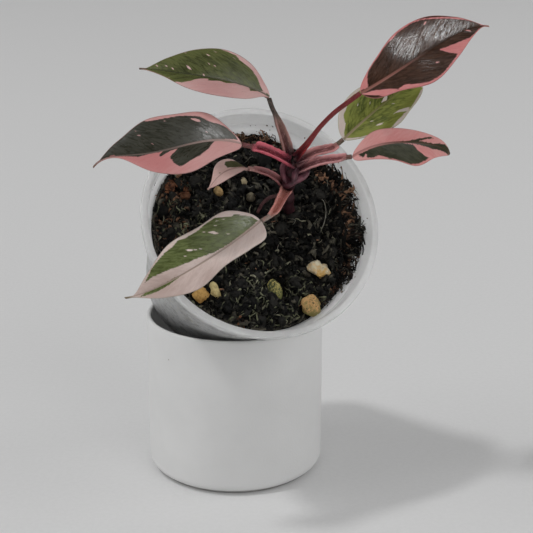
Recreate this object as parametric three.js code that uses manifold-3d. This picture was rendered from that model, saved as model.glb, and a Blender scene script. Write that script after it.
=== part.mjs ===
// A young philodendron with pink-variegated leaves, growing in a milky plastic nursery pot
// that lies tilted in the mouth of a plain white ceramic outer pot.
// Millimetres, +Z up. The origin is the centre of the outer pot's underside, and the
// nursery pot opens towards -Y.

import * as THREE from 'three';
import { mergeVertices } from 'three/addons/utils/BufferGeometryUtils.js';
import Module from 'manifold-3d';

const wasm = await Module();
wasm.setup();

// Driving dimensions

const GAP = 0.3; // clearance between pieces that touch

const OUTER_POT = {
  radius: 47.5,
  height: 87.3,
  wall: 2.4,
  floor: 5,
  footRadius: 43.4,
  footHeight: 1.4,
  heelRadius: 5,
  segments: 56,
};

// Depths are measured down from the rim along the pot's own axis.
const NURSERY_POT = {
  rimRadius: 60,
  rimWidth: 3.3,
  rimDrop: 4,
  rimThickness: 1.2,
  rimRounding: 0.6,
  skirt: 1,
  wall: 1,
  throatRadius: 57.6,
  throatTaper: 1.6,
  shoulderDepth: 14,
  shoulderRun: 2,
  shoulderStep: 2.4,
  height: 97,
  heelRadius: 41.8,
  heelBevel: 1.5,
  footWidth: 4,
  tilt: 55,
  turn: 17.6,
  rimCentre: [15.35, -48.25, 151.9],
  segments: 56,
  holeRadius: 4,
  holeCircle: 27,
  holes: 6,
};

// Places in the tilted pot are in its own frame: origin at the rim's centre, +Z out of the
// mouth, +X to the right and +Y up the slope.
const SOIL = {
  depth: 20,
  rings: 9,
  segments: 40,
  bumps: 9,
  relief: 1.5,
  bankWidth: 9,
  banks: [
    { bearing: 6, spread: 43, height: 8 },
    { bearing: 100, spread: 23, height: 4 },
  ],
};

// Pumice, clay and bark lumps: centre on the soil, half sizes, turn about the pot's axis.
const LUMPS = [
  { name: 'pumice_1', at: [-13.9, 24.0], size: [2.7, 3.0, 2.4], turn: 20, tone: 'ochre' },
  { name: 'pumice_2', at: [1.8, 18.8], size: [2.9, 2.4, 2.2], turn: 50, tone: 'pale' },
  { name: 'pumice_3', at: [-0.4, 27.6], size: [2.2, 3.0, 2.2], turn: 10, tone: 'ochre' },
  { name: 'pumice_4', at: [-25.1, -28.4], size: [2.6, 4.6, 2.6], turn: 15, tone: 'pale' },
  { name: 'clay_1', at: [-32.5, -30.0], size: [4.4, 4.2, 3.4], turn: 0, tone: 'ochre' },
  { name: 'pumice_5', at: [6.1, -30.4], size: [3.4, 6.0, 3.2], turn: 12, tone: 'green' },
  { name: 'pumice_6', at: [30.4, -22.8], size: [6.2, 4.0, 3.4], turn: -22, tone: 'pale' },
  { name: 'clay_2', at: [22.5, -41.0], size: [5.2, 5.0, 4.0], turn: 30, tone: 'ochre' },
  { name: 'bark_1', at: [-38.5, 28.2], size: [3.6, 2.4, 2.0], turn: 40, tone: 'bark' },
  { name: 'bark_2', at: [-31.5, 22.2], size: [3.4, 2.2, 1.8], turn: -30, tone: 'bark' },
];

// A lump is rounded, with softened facets where pieces broke off.
const KNOCKS = {
  count: 6,
  reach: 0.72,
  spread: 0.2,
  softness: 0.8,
  proud: 0.35,
};

const STEM = {
  points: [[21.5, 10, -36], [21, 10.5, -20], [18, 13, -8], [16.5, 17, 2], [16.5, 20, 9], [16.5, 24, 14]],
  radius: 3,
  joints: 5,
  swelling: 0.35,
  thinning: 0.4,
  stations: 14,
  sides: 10,
};

// A short brown-red root that leaves the stem low down and dives into the soil.
const ROOT = {
  points: [[14, 14, -8], [9.5, 14, -7], [6, 13, -10.5], [4, 10.5, -17], [4, 10, -25]],
  radius: 0.9,
  stations: 12,
  sides: 8,
};

// The sheath's depth and taper are shares of its half width, and it fades out over a share
// of the petiole's length on either side of its end.
const PETIOLE = {
  radius: 1.15,
  sheathDepth: 0.6,
  sheathTaper: 0.18,
  sheathFade: 0.06,
  stations: 14,
  sides: 10,
};

// Each leaf has a petiole whose lower part is a channelled sheath, and a blade on the chord
// from base to tip. Half widths are given at six even steps of the turn from base to tip,
// left and right as seen from the base with the upper face up. The bow gives how the blade
// is rolled about its chord and folded along its midrib, in degrees, and in millimetres how
// far the midrib arches up, sways sideways and hooks at the tip, and how the margin waves.
const LEAVES = [
  {
    name: '1',
    petiole: [[15, 26, 14], [11, 31.5, 24], [6.5, 38.5, 32], [3, 43, 37], [1.5, 46.5, 39.5]],
    sheath: { width: 2.5, end: 0.66 },
    base: [1.5, 47, 40],
    tip: [-57, 68, 34],
    left: [3.5, 14, 17.5, 15, 6.5, 1.5],
    right: [6.5, 15.5, 19, 15.5, 8, 0.5],
    bow: { roll: -26, fold: 20, arch: 5, bend: 3.5, skew: -1.2, hook: -2, wave: 0.5 },
  },
  {
    name: '2',
    petiole: [[15, 23, 15], [2.5, 22, 31], [-6.5, 22, 39], [-11, 21.5, 42], [-17, 22.5, 43.5]],
    sheath: { width: 2.6, end: 0.8 },
    base: [-17.5, 22.5, 44],
    tip: [-85, 21, 32],
    left: [6, 12, 17.5, 12.5, 2, 0.5],
    right: [6, 14.5, 16.5, 16.5, 7.5, 0.5],
    bow: { roll: -16, fold: 18, arch: 6, bend: 9.5, skew: -1.2, hook: -11.5, wave: 0.5 },
  },
  {
    name: '3',
    petiole: [[13.5, 16.5, 1.5], [7.5, 18, 9.5], [1.5, 19, 15], [-4.5, 19.5, 18], [-8.5, 19.5, 20]],
    sheath: { width: 1.9, end: 0.82 },
    base: [-9, 19.5, 20],
    tip: [-28.5, 13, 13],
    left: [1, 4.5, 7, 7, 4, 0.5],
    right: [1, 6.5, 8, 7, 2.5, 0.5],
    bow: { roll: -38, fold: 16, arch: 2.5, bend: -3.5, skew: 0, hook: 1.5, wave: 0 },
  },
  {
    name: '4',
    petiole: [[15, 15, 1], [9.5, 8.5, 9], [3, 0, 15], [-1, -4, 17.5], [-7, -7.5, 20]],
    sheath: { width: 2.8, end: 0.8 },
    base: [-7.5, -7.5, 20],
    tip: [-75.5, -36, 11],
    left: [9.5, 9.5, 8.5, 12, 7.5, 1],
    right: [7.5, 15, 15.5, 15.5, 8, 0.5],
    bow: { roll: -19, fold: 20, arch: 6, bend: 6, skew: 0, hook: 2, wave: 0.4 },
  },
  {
    name: '5',
    petiole: [[17.5, 25.5, 15], [21, 28, 25], [25.5, 32, 36], [30.5, 35, 45], [35.5, 37, 51], [41.5, 40, 54]],
    sheath: { width: 2.1, end: 0.45 },
    base: [42, 40, 54],
    tip: [114.5, 70.5, 57],
    left: [5, 11, 16.5, 15.5, 8, 1],
    right: [6.5, 9.5, 15.5, 12, 6, 1],
    bow: { roll: 10, fold: 12, arch: 6, bend: -1.5, skew: 1.1, hook: 3, wave: 0.5 },
  },
  {
    name: '6',
    petiole: [[18.5, 24, 11.5], [26, 25.5, 20], [33, 24.5, 27], [35.5, 25.5, 29], [38, 27, 30]],
    sheath: { width: 1.9, end: 0.72 },
    base: [38.5, 27, 30],
    tip: [80.5, 55, 36],
    left: [6.5, 12.5, 15, 13.5, 10.5, 6],
    right: [4.5, 10, 15.5, 13.5, 10.5, 6],
    bow: { roll: 24, fold: 16, arch: 4, bend: -1, skew: 0, hook: -1, wave: 0.4 },
  },
  {
    name: '7',
    petiole: [[18.5, 21.5, 9], [26.5, 20, 21.5], [34.5, 16.5, 33], [38, 15.5, 36]],
    sheath: { width: 2.4, end: 0.82 },
    base: [38.5, 15.5, 36],
    tip: [87.5, 12.5, 39],
    left: [3.5, 7, 7, 6, 4.5, 3],
    right: [3.5, 6, 8.5, 11.5, 6.5, 3],
    bow: { roll: -16, fold: 14, arch: 4, bend: 3.5, skew: 0.8, hook: 3, wave: 0.4 },
  },
];

const BLADE = {
  thickness: 0.7,
  leastWidth: 0.5,
  foldEase: 0.4,
  hookPower: 10,
  rows: 18,
  columns: 8,
};

// Finishes

const FINISH = {
  ceramic: { color: 0xe9e8e6, roughness: 0.55, metalness: 0 },
  plastic: { color: 0xd5d6d6, roughness: 0.35, metalness: 0 },
  soil: { color: 0x1d1a15, roughness: 0.95, metalness: 0 },
  ochre: { color: 0xc08a35, roughness: 0.85, metalness: 0 },
  pale: { color: 0xd9cfa4, roughness: 0.85, metalness: 0 },
  green: { color: 0x8c8c46, roughness: 0.85, metalness: 0 },
  bark: { color: 0x5b3320, roughness: 0.9, metalness: 0 },
  stem: { color: 0x4b2330, roughness: 0.5, metalness: 0 },
  petiole: { color: 0xb25a63, roughness: 0.4, metalness: 0 },
  leaf: { color: 0x3c4f2c, roughness: 0.35, metalness: 0 },
};

function named(name, geometry, finish) {
  const mesh = new THREE.Mesh(geometry, new THREE.MeshStandardMaterial(FINISH[finish]));
  mesh.name = name;
  return mesh;
}

// Seeded random numbers between 0 and 1

function randomFrom(seed) {
  let state = seed;
  return () => {
    state = (state * 1664525 + 1013904223) % 4294967296;
    return state / 4294967296;
  };
}

// Solids

function solidOf(geometry) {
  const plain = geometry.clone();
  plain.deleteAttribute('normal');
  plain.deleteAttribute('uv');
  const merged = mergeVertices(plain, 1e-4);
  return new wasm.Manifold(
    new wasm.Mesh({
      numProp: 3,
      vertProperties: new Float32Array(merged.attributes.position.array),
      triVerts: new Uint32Array(merged.index.array),
    }),
  );
}

function geometryOf(solid) {
  const mesh = solid.getMesh();
  const geometry = new THREE.BufferGeometry();
  geometry.setAttribute('position', new THREE.BufferAttribute(mesh.vertProperties, 3));
  geometry.setIndex(new THREE.BufferAttribute(mesh.triVerts, 1));
  geometry.computeVertexNormals();
  return geometry;
}

function cutAway(solid, cutters) {
  return cutters.reduce((rest, cutter) => rest.subtract(cutter), solid);
}

function fromTriangles(points, triangles) {
  const geometry = new THREE.BufferGeometry();
  geometry.setAttribute('position', new THREE.Float32BufferAttribute(points.flatMap((p) => p.toArray()), 3));
  geometry.setIndex(triangles);
  geometry.computeVertexNormals();
  return geometry;
}

// A body of revolution about +Z from an outline of [radius, height] pairs.
function turned(outline, segments) {
  const profile = outline.map(([radius, height]) => new THREE.Vector2(radius, height));
  return new THREE.LatheGeometry(profile, segments).rotateX(Math.PI / 2);
}

// Points of a rounded corner, from one angle to another in degrees.
function corner(centreRadius, centreHeight, radius, from, to, steps) {
  return Array.from({ length: steps + 1 }, (unused, k) => {
    const angle = THREE.MathUtils.degToRad(THREE.MathUtils.lerp(from, to, k / steps));
    return [centreRadius + radius * Math.cos(angle), centreHeight + radius * Math.sin(angle)];
  });
}

// A tube along a curve: section(t, angle) gives the across and up offsets of its outline.
function loft(curve, stations, sides, section, up) {
  const points = [];
  const triangles = [];
  for (let i = 0; i <= stations; i += 1) {
    const t = i / stations;
    const centre = curve.getPoint(t);
    const along = curve.getTangent(t);
    const across = new THREE.Vector3().crossVectors(along, up).normalize();
    const upward = new THREE.Vector3().crossVectors(across, along);
    for (let k = 0; k < sides; k += 1) {
      const [x, y] = section(t, (2 * Math.PI * k) / sides);
      points.push(centre.clone().addScaledVector(across, x).addScaledVector(upward, y));
    }
  }
  for (let i = 0; i < stations; i += 1) {
    for (let k = 0; k < sides; k += 1) {
      const here = i * sides + k;
      const next = i * sides + ((k + 1) % sides);
      triangles.push(here, here + sides, next, next, here + sides, next + sides);
    }
  }
  const last = stations * sides;
  points.push(curve.getPoint(0), curve.getPoint(1));
  for (let k = 0; k < sides; k += 1) {
    const next = (k + 1) % sides;
    triangles.push(points.length - 2, k, next);
    triangles.push(points.length - 1, last + next, last + k);
  }
  return fromTriangles(points, triangles);
}

function splineThrough(points) {
  return new THREE.CatmullRomCurve3(points.map((p) => new THREE.Vector3(...p)), false, 'centripetal');
}

// Outer pot

function outerPotGeometry() {
  const { radius, height, wall, floor, footRadius, footHeight, heelRadius, segments } = OUTER_POT;
  const lip = wall / 2;
  const bore = radius - wall;
  const footAngle = THREE.MathUtils.radToDeg(Math.acos((footRadius - radius + heelRadius) / heelRadius));
  return turned(
    [
      [0, 0],
      [footRadius, 0],
      ...corner(radius - heelRadius, footHeight + heelRadius, heelRadius, -footAngle, 0, 4),
      ...corner(radius - lip, height - lip, lip, 0, 180, 6),
      ...corner(bore - heelRadius, floor + heelRadius, heelRadius, 0, -90, 3),
      [0, floor],
    ],
    segments,
  );
}

// Nursery pot, in its own frame

const shoulderRadius = NURSERY_POT.throatRadius - NURSERY_POT.throatTaper;
const bodyRadius = shoulderRadius - NURSERY_POT.shoulderStep;
const shoulderEnd = NURSERY_POT.shoulderDepth + NURSERY_POT.shoulderRun;
const underside = NURSERY_POT.height - NURSERY_POT.heelBevel;
const floorDepth = underside - NURSERY_POT.wall;

// Outer radius of the plain tapered wall at a depth below the shoulder.
function outerRadiusAt(depth) {
  const { height, heelRadius } = NURSERY_POT;
  return THREE.MathUtils.mapLinear(depth, shoulderEnd, height, bodyRadius, heelRadius);
}

function nurseryPotSolid() {
  const { rimRadius, rimWidth, rimDrop, rimThickness, rimRounding, skirt, wall } = NURSERY_POT;
  const { throatRadius, shoulderDepth, height, heelBevel, footWidth, segments } = NURSERY_POT;
  const { holeRadius, holeCircle, holes } = NURSERY_POT;
  const mouth = rimRadius - rimWidth;
  const heel = outerRadiusAt(underside);
  const footRadius = heel - heelBevel;
  const pot = solidOf(
    turned(
      [
        [0, -underside],
        [footRadius - footWidth - heelBevel, -underside],
        [footRadius - footWidth, -height],
        [footRadius, -height],
        [heel, -underside],
        [bodyRadius, -shoulderEnd],
        [shoulderRadius, -shoulderDepth],
        [throatRadius, -rimThickness],
        [rimRadius - skirt, -rimThickness],
        [rimRadius - skirt, -rimDrop],
        [rimRadius, -rimDrop],
        [rimRadius, -rimRounding],
        [rimRadius - rimRounding, 0],
        [mouth + rimRounding, 0],
        [mouth, -rimRounding],
        [shoulderRadius - wall, -shoulderDepth],
        [bodyRadius - wall, -shoulderEnd],
        [outerRadiusAt(floorDepth) - wall, -floorDepth],
        [0, -floorDepth],
      ],
      segments,
    ),
  );
  const drill = new THREE.CylinderGeometry(holeRadius, holeRadius, 4 * heelBevel, 16).rotateX(Math.PI / 2);
  const drains = Array.from({ length: holes }, (unused, k) => {
    const angle = (2 * Math.PI * k) / holes;
    const place = [holeCircle * Math.cos(angle), holeCircle * Math.sin(angle), -underside];
    return solidOf(drill.clone().translate(...place));
  });
  return cutAway(pot, drains);
}

// Soil: a plug that fills the pot. Its rough top banks up the wall on the right and at the
// top of the slope.

const waveNumber = (random) => 0.08 + 0.3 * random();
const bumpRandom = randomFrom(11);
const bumps = Array.from({ length: SOIL.bumps }, (unused, k) => ({
  x: waveNumber(bumpRandom),
  y: waveNumber(bumpRandom) * (k % 2 ? 1 : -1),
  phase: 2 * Math.PI * bumpRandom(),
}));

function soilHeightAt(x, y) {
  const { depth, relief, banks, bankWidth } = SOIL;
  const rough = bumps.reduce((sum, b) => sum + Math.sin(b.x * x + b.y * y + b.phase), 0);
  const bearing = THREE.MathUtils.radToDeg(Math.atan2(y, x));
  const rises = banks.map((bank) => bank.height * Math.exp(-(((bearing - bank.bearing) / bank.spread) ** 2)));
  const banked = rises.reduce((sum, rise) => sum + rise, 0);
  const edge = Math.exp(-(outerRadiusAt(depth) - Math.hypot(x, y)) / bankWidth);
  return -depth + (relief * rough) / Math.sqrt(bumps.length) + banked * edge;
}

function soilSolid() {
  const { rings, segments } = SOIL;
  const points = [new THREE.Vector3(0, 0, soilHeightAt(0, 0))];
  const triangles = [];
  const clearance = NURSERY_POT.wall + GAP;
  for (let ring = 1; ring <= rings; ring += 1) {
    for (let k = 0; k < segments; k += 1) {
      const angle = (2 * Math.PI * k) / segments;
      let radius = ((outerRadiusAt(SOIL.depth) - clearance) * ring) / rings;
      const height = soilHeightAt(radius * Math.cos(angle), radius * Math.sin(angle));
      if (ring === rings) {
        radius = outerRadiusAt(Math.max(-height, shoulderEnd)) - clearance;
      }
      points.push(new THREE.Vector3(radius * Math.cos(angle), radius * Math.sin(angle), height));
    }
  }
  const footRadius = outerRadiusAt(floorDepth) - clearance;
  const footHeight = -floorDepth + GAP;
  for (let k = 0; k < segments; k += 1) {
    const angle = (2 * Math.PI * k) / segments;
    points.push(new THREE.Vector3(footRadius * Math.cos(angle), footRadius * Math.sin(angle), footHeight));
  }
  points.push(new THREE.Vector3(0, 0, footHeight));
  const foot = points.length - 1;
  for (let k = 0; k < segments; k += 1) {
    const next = (k + 1) % segments;
    triangles.push(0, 1 + k, 1 + next);
    for (let ring = 0; ring < rings; ring += 1) {
      const a = 1 + ring * segments;
      triangles.push(a + k, a + segments + k, a + next, a + next, a + segments + k, a + segments + next);
    }
    triangles.push(foot, foot - segments + next, foot - segments + k);
  }
  return solidOf(fromTriangles(points, triangles));
}

function lumpGeometry(lump, seed, grow) {
  const random = randomFrom(seed);
  const knocks = Array.from({ length: KNOCKS.count }, () => ({
    toward: new THREE.Vector3(random() - 0.5, random() - 0.5, random() - 0.5).normalize(),
    reach: KNOCKS.reach + KNOCKS.spread * random(),
  }));
  const ball = new THREE.IcosahedronGeometry(1, 1).deleteAttribute('normal').deleteAttribute('uv');
  const stone = mergeVertices(ball, 1e-4);
  const place = stone.attributes.position;
  const point = new THREE.Vector3();
  for (let i = 0; i < place.count; i += 1) {
    point.fromBufferAttribute(place, i);
    for (const knock of knocks) {
      const over = point.dot(knock.toward) - knock.reach;
      if (over > 0) {
        point.addScaledVector(knock.toward, -KNOCKS.softness * over);
      }
    }
    place.setXYZ(i, ...point);
  }
  const [x, y] = lump.at;
  const [a, b, c] = lump.size;
  stone.scale(a + grow, b + grow, c + grow);
  stone.rotateZ(THREE.MathUtils.degToRad(lump.turn));
  return stone.translate(x, y, soilHeightAt(x, y) + KNOCKS.proud * c);
}

// The stem swells at each joint where a leaf grew.
function stemGeometry(grow) {
  const { points, radius, joints, swelling, thinning, stations, sides } = STEM;
  const section = (t, angle) => {
    const r = radius + swelling * Math.cos(2 * Math.PI * joints * t) - thinning * t + grow;
    return [r * Math.cos(angle), r * Math.sin(angle)];
  };
  return loft(splineThrough(points), stations, sides, section, new THREE.Vector3(0, 1, 0));
}

function rootGeometry(grow) {
  const { points, radius, stations, sides } = ROOT;
  const section = (t, angle) => {
    const r = radius * (1.1 - 0.3 * t) + grow;
    return [r * Math.cos(angle), r * Math.sin(angle)];
  };
  return loft(splineThrough(points), stations, sides, section, new THREE.Vector3(0, 1, 0));
}

// A petiole is round near the blade. Below the sheath's end it has two raised wings with a
// channel between them, on the side that faces out of the pot.
function petioleGeometry(leaf, grow) {
  const { radius, sheathDepth, sheathTaper, sheathFade, stations, sides } = PETIOLE;
  const { width, end } = leaf.sheath;
  const depth = sheathDepth * width;
  const section = (t, angle) => {
    const winged = 1 - THREE.MathUtils.smoothstep(t, end - sheathFade, end + sheathFade);
    const taper = 1 - sheathTaper * (t / end) * winged;
    const a = THREE.MathUtils.lerp(radius, width * taper, winged) + grow;
    const b = THREE.MathUtils.lerp(radius, depth, winged) + grow;
    const channel = depth * winged * Math.max(0, Math.sin(angle)) ** 3;
    return [a * Math.cos(angle), b * Math.sin(angle) - channel];
  };
  return loft(splineThrough(leaf.petiole), stations, sides, section, new THREE.Vector3(0, 0, 1));
}

// Half width by a smooth curve through the six given values, zero at both ends.
function halfWidth(widths, turn) {
  const steps = widths.length + 1;
  const knots = [-widths[0], 0, ...widths, 0, -widths[widths.length - 1]];
  const place = Math.min((turn / Math.PI) * steps, steps - 1e-6);
  const i = Math.floor(place);
  const f = place - i;
  const [a, b, c, d] = knots.slice(i, i + 4);
  const twice = 2 * b + (c - a) * f + (2 * a - 5 * b + 4 * c - d) * f ** 2 + (3 * b - a - 3 * c + d) * f ** 3;
  return Math.max(twice / 2, BLADE.leastWidth);
}

// A point of a blade: turn runs from 0 at the base to pi at the tip, side from -1 at the
// right edge over 0 on the midrib to 1 at the left edge.
function bladePoint(leaf, turn, side) {
  const { roll, fold, arch, bend, skew, hook, wave } = leaf.bow;
  const base = new THREE.Vector3(...leaf.base);
  const chord = new THREE.Vector3(...leaf.tip).sub(base);
  const length = chord.length();
  const along = chord.normalize();
  const level = new THREE.Vector3(0, 0, 1).addScaledVector(along, -along.z).normalize();
  const across = new THREE.Vector3().crossVectors(level, along);
  const lean = THREE.MathUtils.degToRad(roll);
  const normal = level.multiplyScalar(Math.cos(lean)).addScaledVector(across, Math.sin(lean));
  const leftward = new THREE.Vector3().crossVectors(normal, along);

  const t = (1 - Math.cos(turn)) / 2;
  const reach = Math.abs(side);
  const isLeft = side >= 0;
  const u = t * length;
  const w = halfWidth(isLeft ? leaf.left : leaf.right, turn) * reach;
  const ripple = wave * reach ** 2 * Math.sin(turn) * Math.sin(3 * turn + (isLeft ? 0 : 2));
  const bowed = 4 * t * (1 - t);
  const rise = arch * bowed + Math.tan(THREE.MathUtils.degToRad(fold)) * w * (1 - BLADE.foldEase * reach);
  const hooked = (t - t ** BLADE.hookPower) / 0.7;
  const sway = bend * bowed * (1 + skew * (1 - 2 * t)) + hook * hooked;
  return base
    .addScaledVector(along, u)
    .addScaledVector(leftward, (isLeft ? w : -w) + sway)
    .addScaledVector(normal, rise + ripple);
}

// A closed sheet: the blade's grid of points, given its thickness along its own normals.
function bladeGeometry(leaf) {
  const { thickness, rows, columns } = BLADE;
  const spot = (i, k) => bladePoint(leaf, (Math.PI * i) / rows, 1 - (2 * k) / columns);
  const upper = [];
  const lower = [];
  for (let i = 0; i <= rows; i += 1) {
    for (let k = 0; k <= columns; k += 1) {
      const ahead = spot(Math.min(i + 0.5, rows), k).sub(spot(Math.max(i - 0.5, 0), k));
      const aside = spot(i, Math.min(k + 0.5, columns)).sub(spot(i, Math.max(k - 0.5, 0)));
      const normal = aside.cross(ahead).normalize();
      upper.push(spot(i, k).addScaledVector(normal, thickness / 2));
      lower.push(spot(i, k).addScaledVector(normal, -thickness / 2));
    }
  }
  const triangles = [];
  const stride = columns + 1;
  const under = upper.length;
  const quad = (a, b, c, d) => triangles.push(a, b, c, a, c, d);
  for (let i = 0; i < rows; i += 1) {
    for (let k = 0; k < columns; k += 1) {
      const a = i * stride + k;
      quad(a, a + 1, a + 1 + stride, a + stride);
      triangles.push(under + a, under + a + 1 + stride, under + a + 1);
      triangles.push(under + a, under + a + stride, under + a + 1 + stride);
    }
    const left = i * stride;
    const right = left + columns;
    quad(left, left + stride, under + left + stride, under + left);
    quad(right + stride, right, under + right, under + right + stride);
  }
  for (let k = 0; k < columns; k += 1) {
    const end = rows * stride + k;
    quad(k + 1, k, under + k, under + k + 1);
    quad(end, end + 1, under + end + 1, under + end);
  }
  return fromTriangles([...upper, ...lower], triangles);
}

// The object

const plant = new THREE.Group();
plant.add(named('outer_pot', outerPotGeometry(), 'ceramic'));

const tilted = new THREE.Group();
tilted.rotation.set(
  THREE.MathUtils.degToRad(NURSERY_POT.tilt),
  0,
  THREE.MathUtils.degToRad(NURSERY_POT.turn),
  'ZYX',
);
tilted.position.set(...NURSERY_POT.rimCentre);
plant.add(tilted);

tilted.add(named('nursery_pot', geometryOf(nurseryPotSolid()), 'plastic'));

const dimples = [stemGeometry(GAP), rootGeometry(GAP)].map(solidOf);
LUMPS.forEach((lump, k) => {
  tilted.add(named(lump.name, lumpGeometry(lump, 100 + k, 0), lump.tone));
  dimples.push(solidOf(lumpGeometry(lump, 100 + k, GAP)));
});
tilted.add(named('soil', geometryOf(cutAway(soilSolid(), dimples)), 'soil'));

tilted.add(named('stem', stemGeometry(0), 'stem'));
const aroundStem = [solidOf(stemGeometry(GAP))];
tilted.add(named('root', geometryOf(cutAway(solidOf(rootGeometry(0)), aroundStem)), 'stem'));

for (const leaf of LEAVES) {
  const petiole = cutAway(solidOf(petioleGeometry(leaf, 0)), aroundStem);
  tilted.add(named(`petiole_${leaf.name}`, geometryOf(petiole), 'petiole'));
  tilted.add(named(`blade_${leaf.name}`, bladeGeometry(leaf), 'leaf'));
  aroundStem.push(solidOf(petioleGeometry(leaf, GAP)));
}

export default plant;
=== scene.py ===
# %% [markdown]
# # A young pink-splashed philodendron in its two pots
# The plant grows in a thin milky plastic pot, and that pot leans in the mouth of a plain white
# ceramic one. A construction model with every place and size is loaded first and stays fixed.
# This lesson then gives each part the shape and the finish that the eye expects of it: round rims,
# grooved leaf stalks, folded leaves with torn-looking pink patches, and damp fibrous soil.

# %% Load the construction model
import math

import bpy
import numpy as np
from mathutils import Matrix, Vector


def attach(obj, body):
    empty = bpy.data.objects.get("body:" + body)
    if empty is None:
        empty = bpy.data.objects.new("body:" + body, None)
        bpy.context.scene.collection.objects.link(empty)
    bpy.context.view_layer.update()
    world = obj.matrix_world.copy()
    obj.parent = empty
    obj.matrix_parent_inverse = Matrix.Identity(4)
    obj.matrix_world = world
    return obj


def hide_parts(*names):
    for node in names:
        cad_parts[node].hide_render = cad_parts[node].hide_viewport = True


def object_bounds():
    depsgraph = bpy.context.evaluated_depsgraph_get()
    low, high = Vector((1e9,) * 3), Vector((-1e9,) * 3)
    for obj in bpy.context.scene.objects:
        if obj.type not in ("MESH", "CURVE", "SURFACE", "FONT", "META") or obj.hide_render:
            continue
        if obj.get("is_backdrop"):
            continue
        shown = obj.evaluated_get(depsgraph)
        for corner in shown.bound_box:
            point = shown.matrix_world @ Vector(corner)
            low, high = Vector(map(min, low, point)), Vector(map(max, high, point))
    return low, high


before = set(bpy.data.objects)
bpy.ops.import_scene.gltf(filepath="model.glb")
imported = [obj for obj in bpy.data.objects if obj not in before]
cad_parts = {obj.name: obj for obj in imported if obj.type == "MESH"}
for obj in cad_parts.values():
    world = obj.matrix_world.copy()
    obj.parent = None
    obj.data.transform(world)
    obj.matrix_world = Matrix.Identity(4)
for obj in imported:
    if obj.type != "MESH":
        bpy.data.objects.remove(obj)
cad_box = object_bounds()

MM = 0.001
print("solids in the model:", len(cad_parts))

# %% [markdown]
# Everything below is measured in millimetres in numpy arrays and becomes metres when it is put
# into a mesh. A few small helpers say the sums in words. The rough parts need noise that is the
# same at every run, so a fixed lattice of random numbers is blended smoothly between its points.


# %% Sums that every piece uses
def unit(v):
    """Each vector divided by its own length."""
    return v / np.maximum(np.linalg.norm(v, axis=-1, keepdims=True), 1e-12)


def eased(x, low, high):
    """0 below low, 1 above high, and 3s² - 2s³ of the share s between them."""
    s = np.clip((x - low) / (high - low), 0, 1)
    return s * s * (3 - 2 * s)


def mixed(a, b, share):
    """a where the share is 0, b where it is 1."""
    return a + (b - a) * share


LATTICE = np.random.default_rng(5).uniform(-1, 1, (32, 32, 32))


def lumpy(points, size):
    """Noise from -1 to 1: the lattice's values at a point's eight neighbours, weighted by nearness."""
    q = points / size
    cell = np.floor(q).astype(int)
    share = q - cell
    share = share * share * (3 - 2 * share)
    total = 0
    for corner in np.ndindex(2, 2, 2):
        weight = np.prod(np.where(corner, share, 1 - share), axis=-1)
        i, j, k = np.moveaxis((cell + corner) % 32, -1, 0)
        total = total + weight * LATTICE[i, j, k]
    return total


def rough(points, size, octaves=3):
    """Noise over noise: each octave is half as wide and half as high as the one before."""
    return sum(lumpy(points + 17.3 * k, size / 2**k) / 2**k for k in range(octaves))


def draws(seed, count):
    """Seeded numbers from 0 to 1: each state is 1664525 times the last plus 1013904223, modulo 2³²."""
    values = []
    for _ in range(count):
        seed = (seed * 1664525 + 1013904223) % 2**32
        values.append(seed / 2**32)
    return np.array(values)


def polar(radius, angle, z):
    """Points (r cos a, r sin a, z) from a radius, an angle about the axis and a height."""
    x, y = radius * np.cos(angle), radius * np.sin(angle)
    return np.stack([x, y, z + 0 * x], -1)


def ball(rows, columns):
    """Rings of a unit ball without its two poles: (sin a cos b, sin a sin b, cos a)."""
    down = np.linspace(0, np.pi, rows)[1:-1, None]
    about = np.linspace(0, 2 * np.pi, columns, endpoint=False)
    return polar(np.sin(down), about, np.cos(down))


print("random numbers in the lattice:", LATTICE.size)

# %% [markdown]
# The plastic pot and everything that grows in it were drawn upright, in the pot's own frame with
# zero at the rim's centre, and then leaned over. The same lean is used here, so a shape that is
# easy to say in the pot's frame lands in its place.

# %% The lean of the plastic pot
LEAN = math.radians(55)
TURN = math.radians(17.6)
RIM_CENTRE = np.array([15.35, -48.25, 151.9])
leaned = np.array(
    [
        [1, 0, 0],
        [0, math.cos(LEAN), -math.sin(LEAN)],
        [0, math.sin(LEAN), math.cos(LEAN)],
    ]
)
turned = np.array(
    [
        [math.cos(TURN), -math.sin(TURN), 0],
        [math.sin(TURN), math.cos(TURN), 0],
        [0, 0, 1],
    ]
)


def in_place(points):
    """From the pot's own frame to where the leaning pot has it: lean about X, turn about Z, then shift."""
    return points @ (turned @ leaned).T + RIM_CENTRE


print("rim's highest point, mm:", in_place(np.array([0, 60, 0])).round(1))

# %% [markdown]
# The camera comes before the pieces, because the picture is what they are judged by. It looks down
# by 17.67 degrees through a long lens from two thirds of a metre away.

# %% Camera
EYE = Vector((17.28, -663.5, 323.69)) * MM
DOWN = math.radians(17.67)
lens = bpy.data.cameras.new("eye")
lens.sensor_width = 36
lens.lens = 87.8
lens.clip_start = 0.01
lens.clip_end = 60
eye = bpy.data.objects.new("eye", lens)
eye.location = EYE
eye.rotation_euler = (math.pi / 2 - DOWN, 0, 0)
bpy.context.scene.collection.objects.link(eye)
bpy.context.scene.camera = eye
bpy.context.scene.view_settings.view_transform = "Standard"
print("camera height, m:", round(EYE.z, 3))

# %% [markdown]
# The plant stands on white paper that runs on without an edge. A soft sun from the upper left gives
# the shadow on the right. Three large panels, at the left, near the camera and at the right, lift
# the shaded sides, and nothing mirrors them. A fourth hangs high on the right: leaves are slightly
# waxy, and it is what their shine mirrors. In a studio a grid would keep that panel off everything
# but the leaves, so here it gives shine alone. The rest is an even pale sky.


# %% Lights
LAMP_AIM = Vector((0.01, 0, 0.12))
LAMP_DISTANCE = 3


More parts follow.
